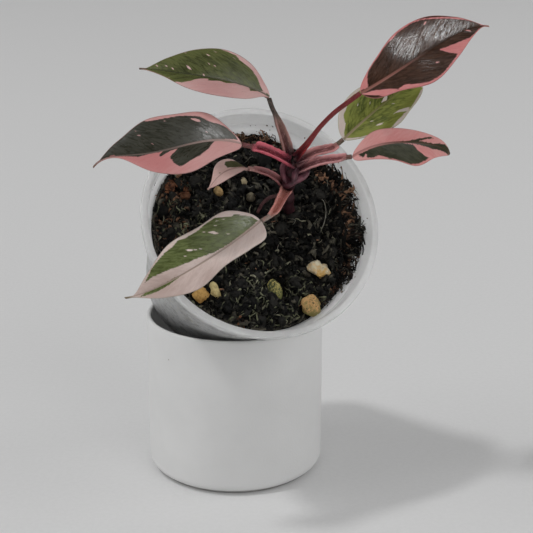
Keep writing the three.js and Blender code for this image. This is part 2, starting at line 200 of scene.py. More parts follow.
def facing_back(azimuth, height):
    """The direction towards a light. Azimuth 0 is on the camera's side and 90 to the right, in degrees."""
    a, h = math.radians(azimuth), math.radians(height)
    return Vector((math.sin(a) * math.cos(h), -math.cos(a) * math.cos(h), math.sin(h)))


def lamp(name, kind, azimuth, height, power, **settings):
    """A light that looks at the plant. Power is in watts, or in watts per square metre for a sun."""
    light = bpy.data.lights.new(name, kind)
    light.energy = power
    for key, value in settings.items():
        setattr(light, key, value)
    made = bpy.data.objects.new(name, light)
    toward = facing_back(azimuth, height)
    made.location = LAMP_AIM + toward * LAMP_DISTANCE
    made.rotation_euler = toward.to_track_quat("Z", "Y").to_euler()
    bpy.context.scene.collection.objects.link(made)
    return made


lamp("soft_sun", "SUN", -69, 61.5, 0.66, angle=math.radians(6))
for matte in (
    lamp("left_panel", "AREA", -84, 20, 17.5, size=2.0),
    lamp("front_panel", "AREA", 35, 28, 10, size=1.8),
    lamp("right_panel", "AREA", 96, 16, 12, size=1.5),
):
    matte.visible_glossy = False
shine = lamp("shine_panel", "AREA", 62, 56, 40, shape="RECTANGLE", size=1.8, size_y=0.8)
shine.visible_diffuse = False
sky = bpy.data.worlds.new("sky")
sky.use_nodes = True
glow = sky.node_tree.nodes["Background"].inputs
glow["Color"].default_value = (1, 1, 1, 1)
glow["Strength"].default_value = 0.375
sky.cycles_visibility.glossy = False
bpy.context.scene.world = sky

# %% [markdown]
# A mesh is written in one go from arrays. Values that a finish will need later, such as how far a
# point is from a leaf's edge, are stored on the points beside their places. A closed shape whose
# faces point inwards encloses a negative volume, so the sign of that sum says when to turn them.


# %% Putting arrays into meshes
def quads(rows, columns):
    """Four-cornered faces between rings of points: the last column is joined to the first."""
    at = np.arange(rows * columns).reshape(rows, columns)
    at = np.hstack([at, at[:, :1]])
    return np.stack([at[:-1, :-1], at[:-1, 1:], at[1:, 1:], at[1:, :-1]], -1).reshape(-1, 4)


def volume(points, faces):
    """Sum over all triangles of a · (b × c) / 6, which is positive if faces point outwards."""
    total = 0
    for side in faces:
        for k in range(1, side.shape[1] - 1):
            a, b, c = points[side[:, 0]], points[side[:, k]], points[side[:, k + 1]]
            total += np.einsum("ij,ij->", a, np.cross(b, c)) / 6
    return total


def piece(name, points, faces, finish, slot, stands_for=(), **values):
    """A closed mesh from points in mm and lists of faces, with values stored on its points."""
    if volume(points - points.mean(0), faces) < 0:
        faces = [side[:, ::-1] for side in faces]
    mesh = bpy.data.meshes.new(name)
    mesh.vertices.add(len(points))
    mesh.vertices.foreach_set("co", (points * MM).astype(np.float32).ravel())
    corners = np.concatenate([side.ravel() for side in faces]).astype(np.int32)
    sizes = np.concatenate([np.full(len(side), side.shape[1]) for side in faces])
    mesh.loops.add(len(corners))
    mesh.loops.foreach_set("vertex_index", corners)
    mesh.polygons.add(len(sizes))
    mesh.polygons.foreach_set("loop_start", (np.cumsum(sizes) - sizes).astype(np.int32))
    mesh.update(calc_edges=True)
    mesh.validate()
    mesh.shade_smooth()
    for key, value in values.items():
        kind, field = ("FLOAT", "value") if value.ndim == 1 else ("FLOAT_VECTOR", "vector")
        stored = mesh.attributes.new(key, kind, "POINT")
        stored.data.foreach_set(field, value.astype(np.float32).ravel())
    mesh.materials.append(finish)
    made = bpy.data.objects.new(name, mesh)
    bpy.context.scene.collection.objects.link(made)
    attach(made, "root")
    if stands_for:
        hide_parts(*stands_for)
    print(name, "triangles:", sum(len(side) * (side.shape[1] - 2) for side in faces))
    return made


def tube(rings):
    """Points and faces of rings of points (row, column, xyz), with both ends closed to their middles."""
    rows, columns = rings.shape[:2]
    points = np.vstack([rings.reshape(-1, 3), rings[0].mean(0), rings[-1].mean(0)])
    edge = np.arange(columns)
    after = np.roll(edge, -1)
    first, last = rows * columns, rows * columns + 1
    end = first - columns
    caps = [
        np.stack([np.full(columns, first), after, edge], 1),
        np.stack([np.full(columns, last), end + edge, end + after], 1),
    ]
    return points, [quads(rows, columns), np.vstack(caps)]


def together(parts):
    """Several (points, faces) as one, with each part's faces counted on from the parts before it."""
    starts = np.cumsum([0] + [len(points) for points, _ in parts[:-1]])
    faces = [f + start for start, (_, face_lists) in zip(starts, parts) for f in face_lists]
    return np.vstack([points for points, _ in parts]), faces


# %% [markdown]
# A finish is a tree of small steps. This helper keeps the steps readable: each call adds one node,
# links what it is given and hands back its output. What is the same all over a surface, such as its
# coat, is set on the shader itself.


# %% Mixing finishes
class Finish:
    """A material being mixed. Each step gives back a socket that later steps can use."""

    def __init__(self, name, **shader):
        self.material = bpy.data.materials.new(name)
        self.material.use_nodes = True
        self.tree = self.material.node_tree
        self.shader = self.tree.nodes["Principled BSDF"]
        for key, value in shader.items():
            self.shader.inputs[key.replace("_", " ")].default_value = value

    def step(self, kind, sockets, out=0, **settings):
        """Adds one node: a socket is linked, a number is set, and one output is handed back."""
        made = self.tree.nodes.new("ShaderNode" + kind)
        for key, value in settings.items():
            setattr(made, key, value)
        for key, value in sockets.items():
            if isinstance(value, bpy.types.NodeSocket):
                self.tree.links.new(value, made.inputs[key])
            else:
                made.inputs[key].default_value = value
        return made.outputs[out]

    def stored(self, name, out="Fac"):
        """A value that is stored on the piece's own points."""
        return self.step("Attribute", {}, out, attribute_name=name)

    def object_place(self):
        """Where a point is on the piece, in metres."""
        return self.step("TexCoord", {}, "Object")

    def noise(self, place, scale, detail=3.0, roughness=0.55, twist=0.0):
        """Cloudy noise about a half, 1 / scale wide, with detail octaves of finer noise over it."""
        sockets = {"Vector": place, "Scale": scale, "Detail": detail, "Roughness": roughness}
        return self.step("TexNoise", sockets | {"Distortion": twist})

    def cells(self, place, scale):
        """Distance to the nearest of many scattered spots, which lie about 1 / scale apart."""
        return self.step("TexVoronoi", {"Vector": place, "Scale": scale}, "Distance")

    def sum(self, operation, first, second=0.0, third=0.0):
        """One sum of up to three numbers. MULTIPLY_ADD is first · second + third."""
        sockets = {0: first, 1: second, 2: third}
        return self.step("Math", sockets, operation=operation)

    def span(self, value, low, high, start=0.0, end=1.0):
        """The start up to low, the end from high on, and 3s² - 2s³ of the way between them."""
        sockets = {0: value, 1: low, 2: high, 3: start, 4: end}
        return self.step("MapRange", sockets, interpolation_type="SMOOTHSTEP")

    def blend(self, share, first, second):
        """The first colour where the share is 0, the second where it is 1."""
        first, second = (v if isinstance(v, bpy.types.NodeSocket) else (*v, 1) for v in (first, second))
        return self.step("Mix", {0: share, 6: first, 7: second}, 2, data_type="RGBA")

    def bump(self, height, distance, strength):
        """A normal that leans as if the skin rose by height · distance, weakened to a strength."""
        return self.step("Bump", {"Height": height, "Distance": distance, "Strength": strength})

    def done(self, colour, roughness=None, normal=None):
        """Links what was mixed to the shader and gives back the material."""
        for key, value in (("Base Color", colour), ("Roughness", roughness), ("Normal", normal)):
            if value is not None:
                self.tree.links.new(value, self.shader.inputs[key])
        return self.material


# %% [markdown]
# The table is a matte sheet with the faintest tooth, far wider than the view, so no edge shows.

# %% Table
paper = Finish("table_paper", Roughness=0.85)
tooth = paper.noise(paper.object_place(), 400.0)
grey = paper.blend(paper.span(tooth, 0.3, 0.7), (0.77, 0.77, 0.77), (0.79, 0.79, 0.79))
TABLE_HALF = 12.0
table_mesh = bpy.data.meshes.new("table")
signs = [(-1, -1), (1, -1), (1, 1), (-1, 1)]
table_mesh.from_pydata([(x * TABLE_HALF, y * TABLE_HALF, 0) for x, y in signs], [], [(0, 1, 2, 3)])
table_mesh.materials.append(paper.done(grey, normal=paper.bump(tooth, 0.0002, 0.3)))
table = bpy.data.objects.new("table", table_mesh)
bpy.context.scene.collection.objects.link(table)
table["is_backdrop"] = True
print("table's width, m:", 2 * TABLE_HALF)

# %% [markdown]
# The outer pot is thrown or cast stoneware: a straight cylinder with a fat rounded lip, a rounded
# heel and a slightly smaller foot. It is a body of revolution, so one outline of radius and height
# is carried round the axis. A turned pot is never exactly true, so its radius wanders by a tenth
# of a millimetre.


# %% Outlines that go round an axis
def arc(radius, height, size, start, end, steps=12):
    """Points (radius, height) + size (cos, sin) from the start angle to the end angle, in degrees."""
    angle = np.radians(np.linspace(start, end, steps))
    return np.stack([radius + size * np.cos(angle), height + size * np.sin(angle)], 1)


def rounded(outline, reach, steps=5):
    """Each corner b becomes the parabola (1-s)² a + 2s(1-s) b + s² c between points near it."""
    before, corner, after = outline[:-2], outline[1:-1], outline[2:]
    room = 0.45 * np.minimum(*(np.linalg.norm(p - corner, axis=1) for p in (before, after)))
    near = np.minimum(reach, room)[:, None]
    a, c = corner + unit(before - corner) * near, corner + unit(after - corner) * near
    s = np.linspace(0, 1, steps)[None, :, None]
    curve = (1 - s) ** 2 * a[:, None] + 2 * s * (1 - s) * corner[:, None] + s**2 * c[:, None]
    return np.vstack([outline[:1], curve.reshape(-1, 2), outline[-1:]])


def stepped(outline, stride):
    """The same outline with extra points, so that no two are more than a stride apart."""
    far = np.concatenate([[0], np.cumsum(np.linalg.norm(np.diff(outline, axis=0), axis=1))])
    at = np.unique(np.concatenate([far, np.arange(0, far[-1], stride)]).round(4))
    return np.stack([np.interp(at, far, outline[:, 0]), np.interp(at, far, outline[:, 1])], 1)


def turned_rings(outline, columns):
    """The outline (r, z) carried round the axis: (r cos a, r sin a, z)."""
    angle = np.linspace(0, 2 * np.pi, columns, endpoint=False)
    return polar(outline[:, :1], angle, outline[:, 1:])


# %% Ceramic pot
# The outline (radius, height) runs under the foot, up the outside, over the lip and down inside.
outer = np.vstack(
    [
        [(0.01, 0.0), (30, 0.0)],
        arc(42.4, 0.9, 0.9, -90, -10, 5),
        arc(42.5, 6.4, 5, -79.6, 0),
        arc(46.3, 86.1, 1.2, 0, 180, 20),
        arc(40.1, 10, 5, 0, -90),
        [(0.01, 5)],
    ]
)
pot_rings = turned_rings(stepped(outer, 2.5), 256)
wander = 1 + 0.0016 * rough(pot_rings * [1, 1, 0.6], 30, 2)[..., None] * [1, 1, 0]
ceramic = Finish("matte_ceramic", Roughness=0.5)
at = ceramic.object_place()
cloud = ceramic.noise(at, 30.0)
grit = ceramic.noise(at, 900.0, 2.0)
speck = ceramic.span(ceramic.cells(at, 42.0), 0.012, 0.022)
body = ceramic.blend(ceramic.span(cloud, 0.3, 0.7), (0.72, 0.72, 0.715), (0.76, 0.76, 0.755))
body = ceramic.blend(speck, (0.42, 0.40, 0.37), body)
# Painted shade: the pot's colour darkens over its lowest 1.6 mm, where it stands on the table.
foot_shade_height = ceramic.step("SeparateXYZ", {0: at}, "Z")
body = ceramic.blend(ceramic.span(foot_shade_height, 0.0004, 0.0016), (0.30, 0.29, 0.28), body)
ceramic_skin = ceramic.done(
    body,
    ceramic.span(cloud, 0.2, 0.8, 0.42, 0.56),
    ceramic.bump(ceramic.sum("ADD", grit, ceramic.sum("MULTIPLY", cloud, 3.0)), 0.00012, 0.5),
)
points, faces = tube(pot_rings * wander)
piece("ceramic_pot", points, faces, ceramic_skin, "white_ceramic", ["outer_pot"])

# %% [markdown]
# The potting mix fills the plastic pot to two fingers below its rim and banks up the wall on the
# right and at the top of the slope. Its height is a sum of nine long waves and two banks, as in
# the construction model, and crumbs and hollows of a few millimetres are added over it.

# %% The soil's height
SOIL_DEPTH = 20
FLOOR_DEPTH = 94.5
# Depth below the rim and outer radius, where the taper starts and where it ends.
WALL_TOP = (16, 53.6)
WALL_FOOT = (97, 41.8)
bump_draws = draws(11, 27).reshape(9, 3)
wave_x = 0.08 + 0.3 * bump_draws[:, 0]
wave_y = (0.08 + 0.3 * bump_draws[:, 1]) * np.where(np.arange(9) % 2, 1, -1)
wave_phase = 2 * np.pi * bump_draws[:, 2]
# Bearing and spread in degrees, and height.
BANKS = [(6, 43, 8), (100, 23, 4)]


def wall_radius(depth):
    """Outer radius of the plastic pot's tapered wall at a depth below the rim."""
    return mixed(WALL_TOP[1], WALL_FOOT[1], (depth - WALL_TOP[0]) / (WALL_FOOT[0] - WALL_TOP[0]))


def soil_height(x, y):
    """Minus 20 mm, plus half a millimetre of each wave, plus banks that fade inwards from the wall."""
    x, y = np.asarray(x, float), np.asarray(y, float)
    waves = np.sin(x[..., None] * wave_x + y[..., None] * wave_y + wave_phase).sum(-1)
    bearing = np.degrees(np.arctan2(y, x))
    banked = sum(h * np.exp(-(((bearing - b) / spread) ** 2)) for b, spread, h in BANKS)
    return -SOIL_DEPTH + 0.5 * waves + banked * np.exp((np.hypot(x, y) - wall_radius(SOIL_DEPTH)) / 9)


def crumbly(x, y):
    """Clods over the soil: noise 9 mm wide, ridges of 1 - 2 |noise| 5.5 mm wide and noise below 3 mm.

    In the last millimetres before the wall it sinks here and there, so the edge looks torn."""
    flat = np.stack([x, y, 0 * x], -1)
    ridges = 1 - 2 * np.abs(lumpy(flat + 20, 5.5)) ** 0.8
    torn = eased(np.hypot(x, y), 47.5, 51.5) * eased(lumpy(flat + 90, 3.6), -0.1, 0.7)
    return 1.3 * lumpy(flat, 9) + 0.9 * ridges + 0.8 * rough(flat + 50, 2.8, 4) - 4.5 * torn


def on_soil(x, y):
    """The height of the soil's crumbly top."""
    return soil_height(x, y) + crumbly(x, y)


def edge_height(angle):
    """The soil's height close to the wall, 50 mm from the axis."""
    return soil_height(50 * np.cos(angle), 50 * np.sin(angle))


def shrunk(points):
    """Draws points inwards by about 4.5 mm at the top of the soil's right side, which left the wall."""
    x, y, z = np.moveaxis(points, -1, 0)
    radius, bearing = np.hypot(x, y), np.arctan2(y, x)
    share = np.exp(-(((bearing + 0.08) / 0.55) ** 2)) * eased(z, -42, -24) * eased(radius, 34, 50)
    ragged = 1 + 0.4 * lumpy(np.stack([9 * bearing, 0 * x, 0 * x], -1), 1.0)
    scale = 1 - 4.5 * share * ragged / np.maximum(radius, 1)
    return np.stack([x * scale, y * scale, z], -1)


print("soil at the axis, mm below the rim:", -soil_height(0, 0).round(2))

# %% [markdown]
# The plastic pot is thin and slightly see-through. Its outline has the usual rolled rim, a step
# where the next pot in a stack would rest, a long taper and a small ring to stand on. Below the
# soil line the dark mix shows through the wall as grey blotches, so each point stores how far it
# is below that line. The drain holes are cut out of the floor with six short pegs.

# %% Plastic pot
heel = wall_radius(95.5)
# Under the foot and its ring, up the outside, over the rolled rim and down the inside to the floor.
foot = [(0.01, -95.5), (heel - 7, -95.5), (heel - 5.5, -97), (heel - 1.5, -97), (heel, -95.5)]
outside = [(53.6, -16), (56, -14), (57.6, -1.2), (59, -1.2), (59, -4), (60, -4), (60, 0)]
inside = [(56.7, 0), (55.6, -9.2), (55.25, -9.6), (55, -14), (52.6, -16)]
floor = [(wall_radius(FLOOR_DEPTH) - 1, -FLOOR_DEPTH), (0.01, -FLOOR_DEPTH)]
plastic_outline = np.array(foot + outside + inside + floor)
plastic_rings = turned_rings(stepped(rounded(plastic_outline, 0.7), 1.6), 300)


def cut_out(body, tool):
    """The first closed shape less the second, by an exact cut: its points and its faces, listed by size."""
    made = []
    for name, (points, faces) in (("body", body), ("tool", tool)):
        mesh = bpy.data.meshes.new(name)
        mesh.from_pydata(points.tolist(), [], [face for side in faces for face in side.tolist()])
        made.append(bpy.data.objects.new(name, mesh))
        bpy.context.scene.collection.objects.link(made[-1])
    cut = made[0].modifiers.new("cut", "BOOLEAN")
    cut.object, cut.operation, cut.solver = made[1], "DIFFERENCE", "EXACT"
    seen = made[0].evaluated_get(bpy.context.evaluated_depsgraph_get())
    shape = bpy.data.meshes.new_from_object(seen)
    read = {}
    for key, list_of, field, each in (
        ("points", shape.vertices, "co", 3),
        ("corners", shape.loops, "vertex_index", 1),
        ("starts", shape.polygons, "loop_start", 1),
        ("sizes", shape.polygons, "loop_total", 1),
    ):
        read[key] = np.empty(len(list_of) * each, np.float32 if each == 3 else np.int32)
        list_of.foreach_get(field, read[key])
    for mesh in [shape] + [thing.data for thing in made]:
        bpy.data.meshes.remove(mesh)
    faces = [
        read["corners"][read["starts"][read["sizes"] == size][:, None] + np.arange(size)]
        for size in np.unique(read["sizes"])
    ]
    return read["points"].reshape(-1, 3).astype(float), faces


HOLES, HOLE_RING, HOLE_RADIUS = 6, 27, 4
PEG_ENDS = (-99, -93)
turn = np.linspace(0, 2 * np.pi, 40, endpoint=False)
pegs = []
for hole in range(HOLES):
    bearing = 2 * math.pi * hole / HOLES
    centre = HOLE_RING * np.array([math.cos(bearing), math.sin(bearing), 0])
    pegs.append(tube(np.array([polar(HOLE_RADIUS, turn, z) + centre for z in PEG_ENDS])))
points, plastic_faces = cut_out(tube(plastic_rings), together(pegs))
below_soil = soil_height(points[:, 0], points[:, 1]) - points[:, 2]
plastic = Finish(
    "milky_plastic",
    Transmission_Weight=0.45,
    IOR=1.25,
    Subsurface_Weight=1.0,
    Subsurface_Radius=(1.0, 1.0, 1.0),
    Subsurface_Scale=0.008,
    Coat_Weight=0.15,
    Coat_Roughness=0.2,
)
at = plastic.object_place()
blotch = plastic.noise(at, 700.0, 5.0, 0.65)
streak = plastic.noise(at, 500.0, 3.0)
wide_blotch = plastic.noise(at, 120.0, 4.0, 0.6, 0.8)
pressed = plastic.sum("MULTIPLY_ADD", wide_blotch, 0.6, plastic.sum("MULTIPLY", blotch, 0.4))
sunk = plastic.span(plastic.stored("below_soil"), -1.0, 5.0)
speck = plastic.span(plastic.noise(at, 420.0, 2.0, 0.5), 0.66, 0.72, 0.0, 0.5)
cloudy = plastic.sum("ADD", plastic.span(pressed, 0.44, 0.66, 0.12, 0.66), speck)
seen = plastic.sum("MULTIPLY", sunk, cloudy)
bend = plastic.sum("ABSOLUTE", plastic.sum("SUBTRACT", plastic.noise(at, 95.0, 2.0, 0.5, 1.6), 0.5))
thread = plastic.sum("MULTIPLY", sunk, plastic.span(bend, 0.006, 0.020, 0.45, 0.0))
clear_wall = plastic.blend(plastic.span(streak, 0.3, 0.7), (0.93, 0.94, 0.935), (0.97, 0.98, 0.975))
wall_tone = plastic.blend(seen, clear_wall, (0.075, 0.07, 0.06))
wall_tone = plastic.blend(thread, wall_tone, (0.80, 0.75, 0.62))
plastic_skin = plastic.done(
    wall_tone,
    plastic.span(blotch, 0.2, 0.8, 0.45, 0.55),
    plastic.bump(streak, 0.0001, 0.35),
)
open_share = plastic.span(plastic.stored("below_soil"), -2.0, 3.0, 0.66, 1.0)
plastic.tree.links.new(open_share, plastic.shader.inputs["Alpha"])
piece(
    "plastic_pot",
    in_place(points),
    plastic_faces,
    plastic_skin,
    "milky_plastic",
    ["nursery_pot"],
    below_soil=below_soil,
)

# %% [markdown]
# The soil is one closed body: a top on rings and spokes, a side that keeps clear of the plastic
# wall and a flat foot. Only the top is finely divided, because only the top shows.

# %% Soil body
CLEAR = 1.3
SOIL_FOOT = -94.2
RINGS, SPOKES = 130, 420
bearing = np.linspace(0, 2 * np.pi, SPOKES, endpoint=False)
share = (np.arange(1, RINGS + 1) / RINGS)[:, None]
top_radius = share * (wall_radius(SOIL_DEPTH) - CLEAR)
soil_x, soil_y = top_radius * np.cos(bearing), top_radius * np.sin(bearing)
top = soil_height(soil_x, soil_y)
edge_radius = wall_radius(np.maximum(-top[-1], WALL_TOP[0])) - CLEAR
top = top + crumbly(soil_x, soil_y) * eased(1 - share, 0, 0.03)
soil_x[-1], soil_y[-1] = edge_radius * np.cos(bearing), edge_radius * np.sin(bearing)
side_share = np.linspace(0, 1, 24)[1:, None]
side_z = mixed(top[-1], SOIL_FOOT, side_share)
side_radius = mixed(edge_radius, wall_radius(FLOOR_DEPTH) - CLEAR, side_share)
side_rings = polar(side_radius, bearing, side_z)
soil_rings = np.concatenate([np.stack([soil_x, soil_y, top], -1), side_rings])
soil = Finish("damp_potting_mix", Roughness=0.92, Specular_IOR_Level=0.25)
at = soil.object_place()
clod = soil.noise(at, 260.0, 5.0, 0.7)
thread = soil.noise(soil.step("Mapping", {0: at, 3: (1.0, 0.35, 1.6)}), 900.0, 4.0, 0.65, 2.5)
fleck = soil.span(soil.cells(at, 480.0), 0.10, 0.2)
earth = soil.blend(soil.span(clod, 0.35, 0.68), (0.0030, 0.0031, 0.0030), (0.013, 0.0125, 0.0105))
earth = soil.blend(soil.span(thread, 0.60, 0.74), earth, (0.034, 0.037, 0.029))
earth = soil.blend(fleck, (0.040, 0.034, 0.026), earth)
soil_skin = soil.done(earth, normal=soil.bump(soil.sum("ADD", clod, thread), 0.0009, 0.9))
points, faces = tube(soil_rings)
piece("soil_body", in_place(shrunk(points)), faces, soil_skin, "potting_mix", ["soil"])

# %% [markdown]
# Potting mix for such plants is bark, husk fibre and moss. Fibres curl out of the soil by the
# hundred, so all of them are made at once: an array holds the middle line of each, and rings of
# points are set round every line. Clods and crumbs are small shapes that are copied, each with its
# own size and turn. The places of the stones come first, because loose bits keep clear of them.


# %% Where the lumps lie
# Name, place on the soil, half sizes in mm, turn in degrees.
LUMPS = [
    ("pumice_1", (-13.9, 24), (2.7, 3, 2.4), 20),
    ("pumice_2", (1.8, 18.8), (2.9, 2.4, 2.2), 50),
    ("pumice_3", (-0.4, 27.6), (2.2, 3, 2.2), 10),
    ("pumice_4", (-25.1, -28.4), (2.6, 4.6, 2.6), 15),
    ("clay_1", (-32.5, -30), (4.4, 4.2, 3.4), 0),
    ("pumice_5", (6.1, -30.4), (3.4, 6, 3.2), 12),
    ("pumice_6", (30.4, -22.8), (6.2, 4, 3.4), -22),
    ("clay_2", (22.3, -41.6), (5.2, 5.5, 4), 30),
    ("bark_1", (-38.5, 28.2), (3.6, 2.4, 2), 40),
    ("bark_2", (-31.5, 22.2), (3.4, 2.2, 1.8), -30),
]
print("lumps:", len(LUMPS))


# %% Many small things at once
SIDES = 4
SOIL_REACH = 49.4


def many_tubes(lines, radius, flat=1.0):
    """Tubes round many lines (n, m, 3). Each ring is spanned by z × along and by its flattened normal."""
    along = unit(np.gradient(lines, axis=1))
    across = unit(np.cross(np.broadcast_to([0.12, 0.05, 1.0], along.shape), along))
    above = np.cross(along, across)
    angle = np.linspace(0, 2 * np.pi, SIDES, endpoint=False)[:, None]
    spread = across[:, :, None] * np.cos(angle) + above[:, :, None] * np.sin(angle) * flat
    points = lines[:, :, None] + radius[..., None, None] * spread
    count, rows = lines.shape[:2]
    one = quads(rows, SIDES)
    ends = np.array([np.arange(SIDES)[::-1], (rows - 1) * SIDES + np.arange(SIDES)])
    first = (np.arange(count) * rows * SIDES)[:, None, None]
    return points.reshape(-1, 3), [(first + f).reshape(-1, f.shape[1]) for f in (one, ends)]


def fibres(x, y, heading, length, curl, rise, girth, rng):
    """Middle lines on the soil: the heading grows by curl · s, and the height is rise · sin(pi s)."""
    rows = 8
    s = np.linspace(0, 1, rows)
    wave = rng.uniform(-0.7, 0.7, (len(x), 1)) * np.sin(9 * s + rng.uniform(0, 6, (len(x), 1)))
    angle = heading[:, None] + curl[:, None] * s + wave
    stride = length[:, None] / (rows - 1)
    px = x[:, None] + np.cumsum(stride * np.cos(angle), 1)
    py = y[:, None] + np.cumsum(stride * np.sin(angle), 1)
    keep_in = np.minimum(1, SOIL_REACH / np.hypot(px, py))
    px, py = px * keep_in, py * keep_in
    pz = on_soil(px, py) + rise[:, None] * np.sin(np.pi * s) - 0.1
    return np.stack([px, py, pz], -1), girth[:, None] * (0.45 + 0.55 * np.sin(np.pi * s) ** 0.5)


def copies(shape, face_lists, places, sizes, rng):
    """One small shape set down many times, each with its own size and a random turn.

    The turn by a random (w, v) of length one takes p to p + 2 (w v × p + v × (v × p))."""
    q = unit(rng.normal(size=(len(places), 4)))
    w, v = q[:, :1, None], q[:, None, 1:]
    local = shape[None] * sizes[:, None, :]
    cross = np.cross(np.broadcast_to(v, local.shape), local)
    spun = local + 2 * (w * cross + np.cross(np.broadcast_to(v, local.shape), cross))
    first = (np.arange(len(places)) * len(shape))[:, None, None]
    faces = [(first + f).reshape(-1, f.shape[1]) for f in face_lists]
    return (spun + places[:, None]).reshape(-1, 3), faces


def scattered(rng, count, reach=50.0):
    """Even places on the soil: the radius is the root of an even number."""
    r, a = reach * np.sqrt(rng.uniform(0, 1, count)), rng.uniform(0, 2 * np.pi, count)
    return r * np.cos(a), r * np.sin(a)


def off_lumps(x, y, margin):
    """True where a place keeps clear of every stone by a margin, so that none is buried."""
    apart = [np.hypot(x - spot[0], y - spot[1]) - 0.5 * (size[0] + size[1]) for _, spot, size, _ in LUMPS]
    return np.min(apart, 0) > margin


# %% Finishes of the small things
def litter_finish(name, dark, light, scale=300.0):
    """Small dry bits: the colour goes from dark to light by each bit's own stored tone, and along each."""
    bits = Finish(name, Roughness=0.85, Specular_IOR_Level=0.3)
    at = bits.object_place()
    change = bits.span(bits.noise(at, scale, 3.0, 0.6), 0.3, 0.7, -0.35, 0.35)
    grain = bits.noise(at, 1500.0, 2.0)
    tone = bits.span(bits.sum("ADD", bits.stored("tone"), change), 0.0, 1.0)
    colour = bits.blend(tone, dark, light)
    return bits.done(colour, normal=bits.bump(grain, 0.0003, 0.7))


def shares(rng, count, each, power):
    """One stored tone for each small thing, repeated over its points: an even number to a power."""
    return np.repeat(rng.uniform(0, 1, count) ** power, each)


# %% Clods
KINDS, EACH_KIND = 4, 230
# What would cover a stone goes this far down, out of sight.
SUNK = 5
clod_points, clod_faces = tube(ball(8, 9))
rng = np.random.default_rng(24)
clods = []
for kind in range(KINDS):
    jagged = clod_points * (1 + 0.65 * rough(clod_points + 9 * kind, 0.8, 2))[:, None]
    x, y = scattered(rng, EACH_KIND, 47.5)
    z = on_soil(x, y) + rng.uniform(-0.9, 0.9, EACH_KIND)
    sizes = rng.uniform(0.8, 3.8, (EACH_KIND, 1)) * rng.uniform(0.4, 1.1, (EACH_KIND, 3))
    z = np.where(off_lumps(x, y, 2.2), z, z - SUNK)
    clods.append(copies(jagged, clod_faces, np.stack([x, y, z], 1), sizes, rng))
points, faces = together(clods)
clod_skin = litter_finish("dark_clods", (0.0025, 0.0026, 0.0026), (0.026, 0.025, 0.021), 700.0)
tone = shares(rng, KINDS * EACH_KIND, len(clod_points), 1.5)
piece("soil_clods", in_place(shrunk(points)), faces, clod_skin, "potting_mix", tone=tone)


# %% Moss, husk ribbons and thin fibres
def scatter_strands(name, count, seed, lengths, curl, rises, girths, skin, power, flat=1.0, heap=None):
    """Curly strands all over the soil, or in one heap, given as (middle, spread) for x and for y."""
    rng = np.random.default_rng(seed)
    x, y = scattered(rng, count)
    heading = rng.uniform(0, 2 * np.pi, count)
    numbers = [rng.uniform(*lengths, count), rng.normal(0, curl, count), rng.uniform(*rises, count)]
    if heap:
        x, y = (middle + rng.normal(0, spread, count) for middle, spread in heap)
    lines, girth = fibres(x, y, heading, *numbers, rng.uniform(*girths, count), rng)
    girth = girth * rng.uniform(0.5, 1.3, girth.shape)
    clear = off_lumps(lines[..., 0], lines[..., 1], 0.3).all(1)
    lines, girth, count = lines[clear], girth[clear], clear.sum()
    points, faces = many_tubes(lines, girth, flat=flat)
    tone = shares(rng, count, len(points) // count, power)
    piece(name, in_place(shrunk(points)), faces, skin, "potting_mix", tone=tone)


dark_husk = litter_finish("dark_husk", (0.0024, 0.0026, 0.0025), (0.13, 0.12, 0.09))
grey_moss = litter_finish("grey_moss", (0.0035, 0.004, 0.0036), (0.38, 0.37, 0.26), 160.0)
green_moss = litter_finish("green_moss", (0.0045, 0.0055, 0.0040), (0.25, 0.26, 0.16), 160.0)
pale_fibre = litter_finish("pale_fibre", (0.02, 0.02, 0.016), (0.30, 0.29, 0.24), 160.0)
# Name, how many, seed, lengths, curl, rises, girths, finish, power of the tone, flatness, heap.
STRANDS = [
    ("husk_ribbons", 1000, 21, (4, 11), 1.1, (0.4, 3.6), (0.5, 1.6), dark_husk, 4.0, 0.25),
    ("moss_ribbons", 620, 22, (3, 8.5), 1.2, (0.6, 4), (0.25, 0.62), grey_moss, 4.5, 0.4),
    ("low_moss", 420, 28, (2.5, 9), 0.9, (0.8, 4), (0.2, 0.55), green_moss, 1.6, 0.4, [(6, 15), (-36, 8)]),
    ("left_moss", 220, 29, (2.5, 8), 0.9, (0.8, 4), (0.2, 0.5), green_moss, 1.8, 0.4, [(-34, 9), (8, 9)]),
    ("thin_fibres", 300, 25, (3, 11), 1.5, (0.6, 3.6), (0.08, 0.17), pale_fibre, 2.2),
]
for strand in STRANDS:
    scatter_strands(*strand)

# %% [markdown]
# The root ball has come away from the wall, and what held it there stands up as ragged tufts, most
# of them on the right and at the top. Their middle lines start at the soil's edge and climb the
# wall, leaning to one side and waving, and some bend over again. Short dark ones stand all round
# the rest of the edge, and a heap of brown husks lies on the left.


# %% Tufts at the edge
def inner_wall(z):
    """Radius of the plastic pot's inside at a height, by straight lines between its corners."""
    radius = [56.7, 55, 52.6, wall_radius(FLOOR_DEPTH) - 1]
    return np.interp(-z, [0, 14, 16, FLOOR_DEPTH], radius)


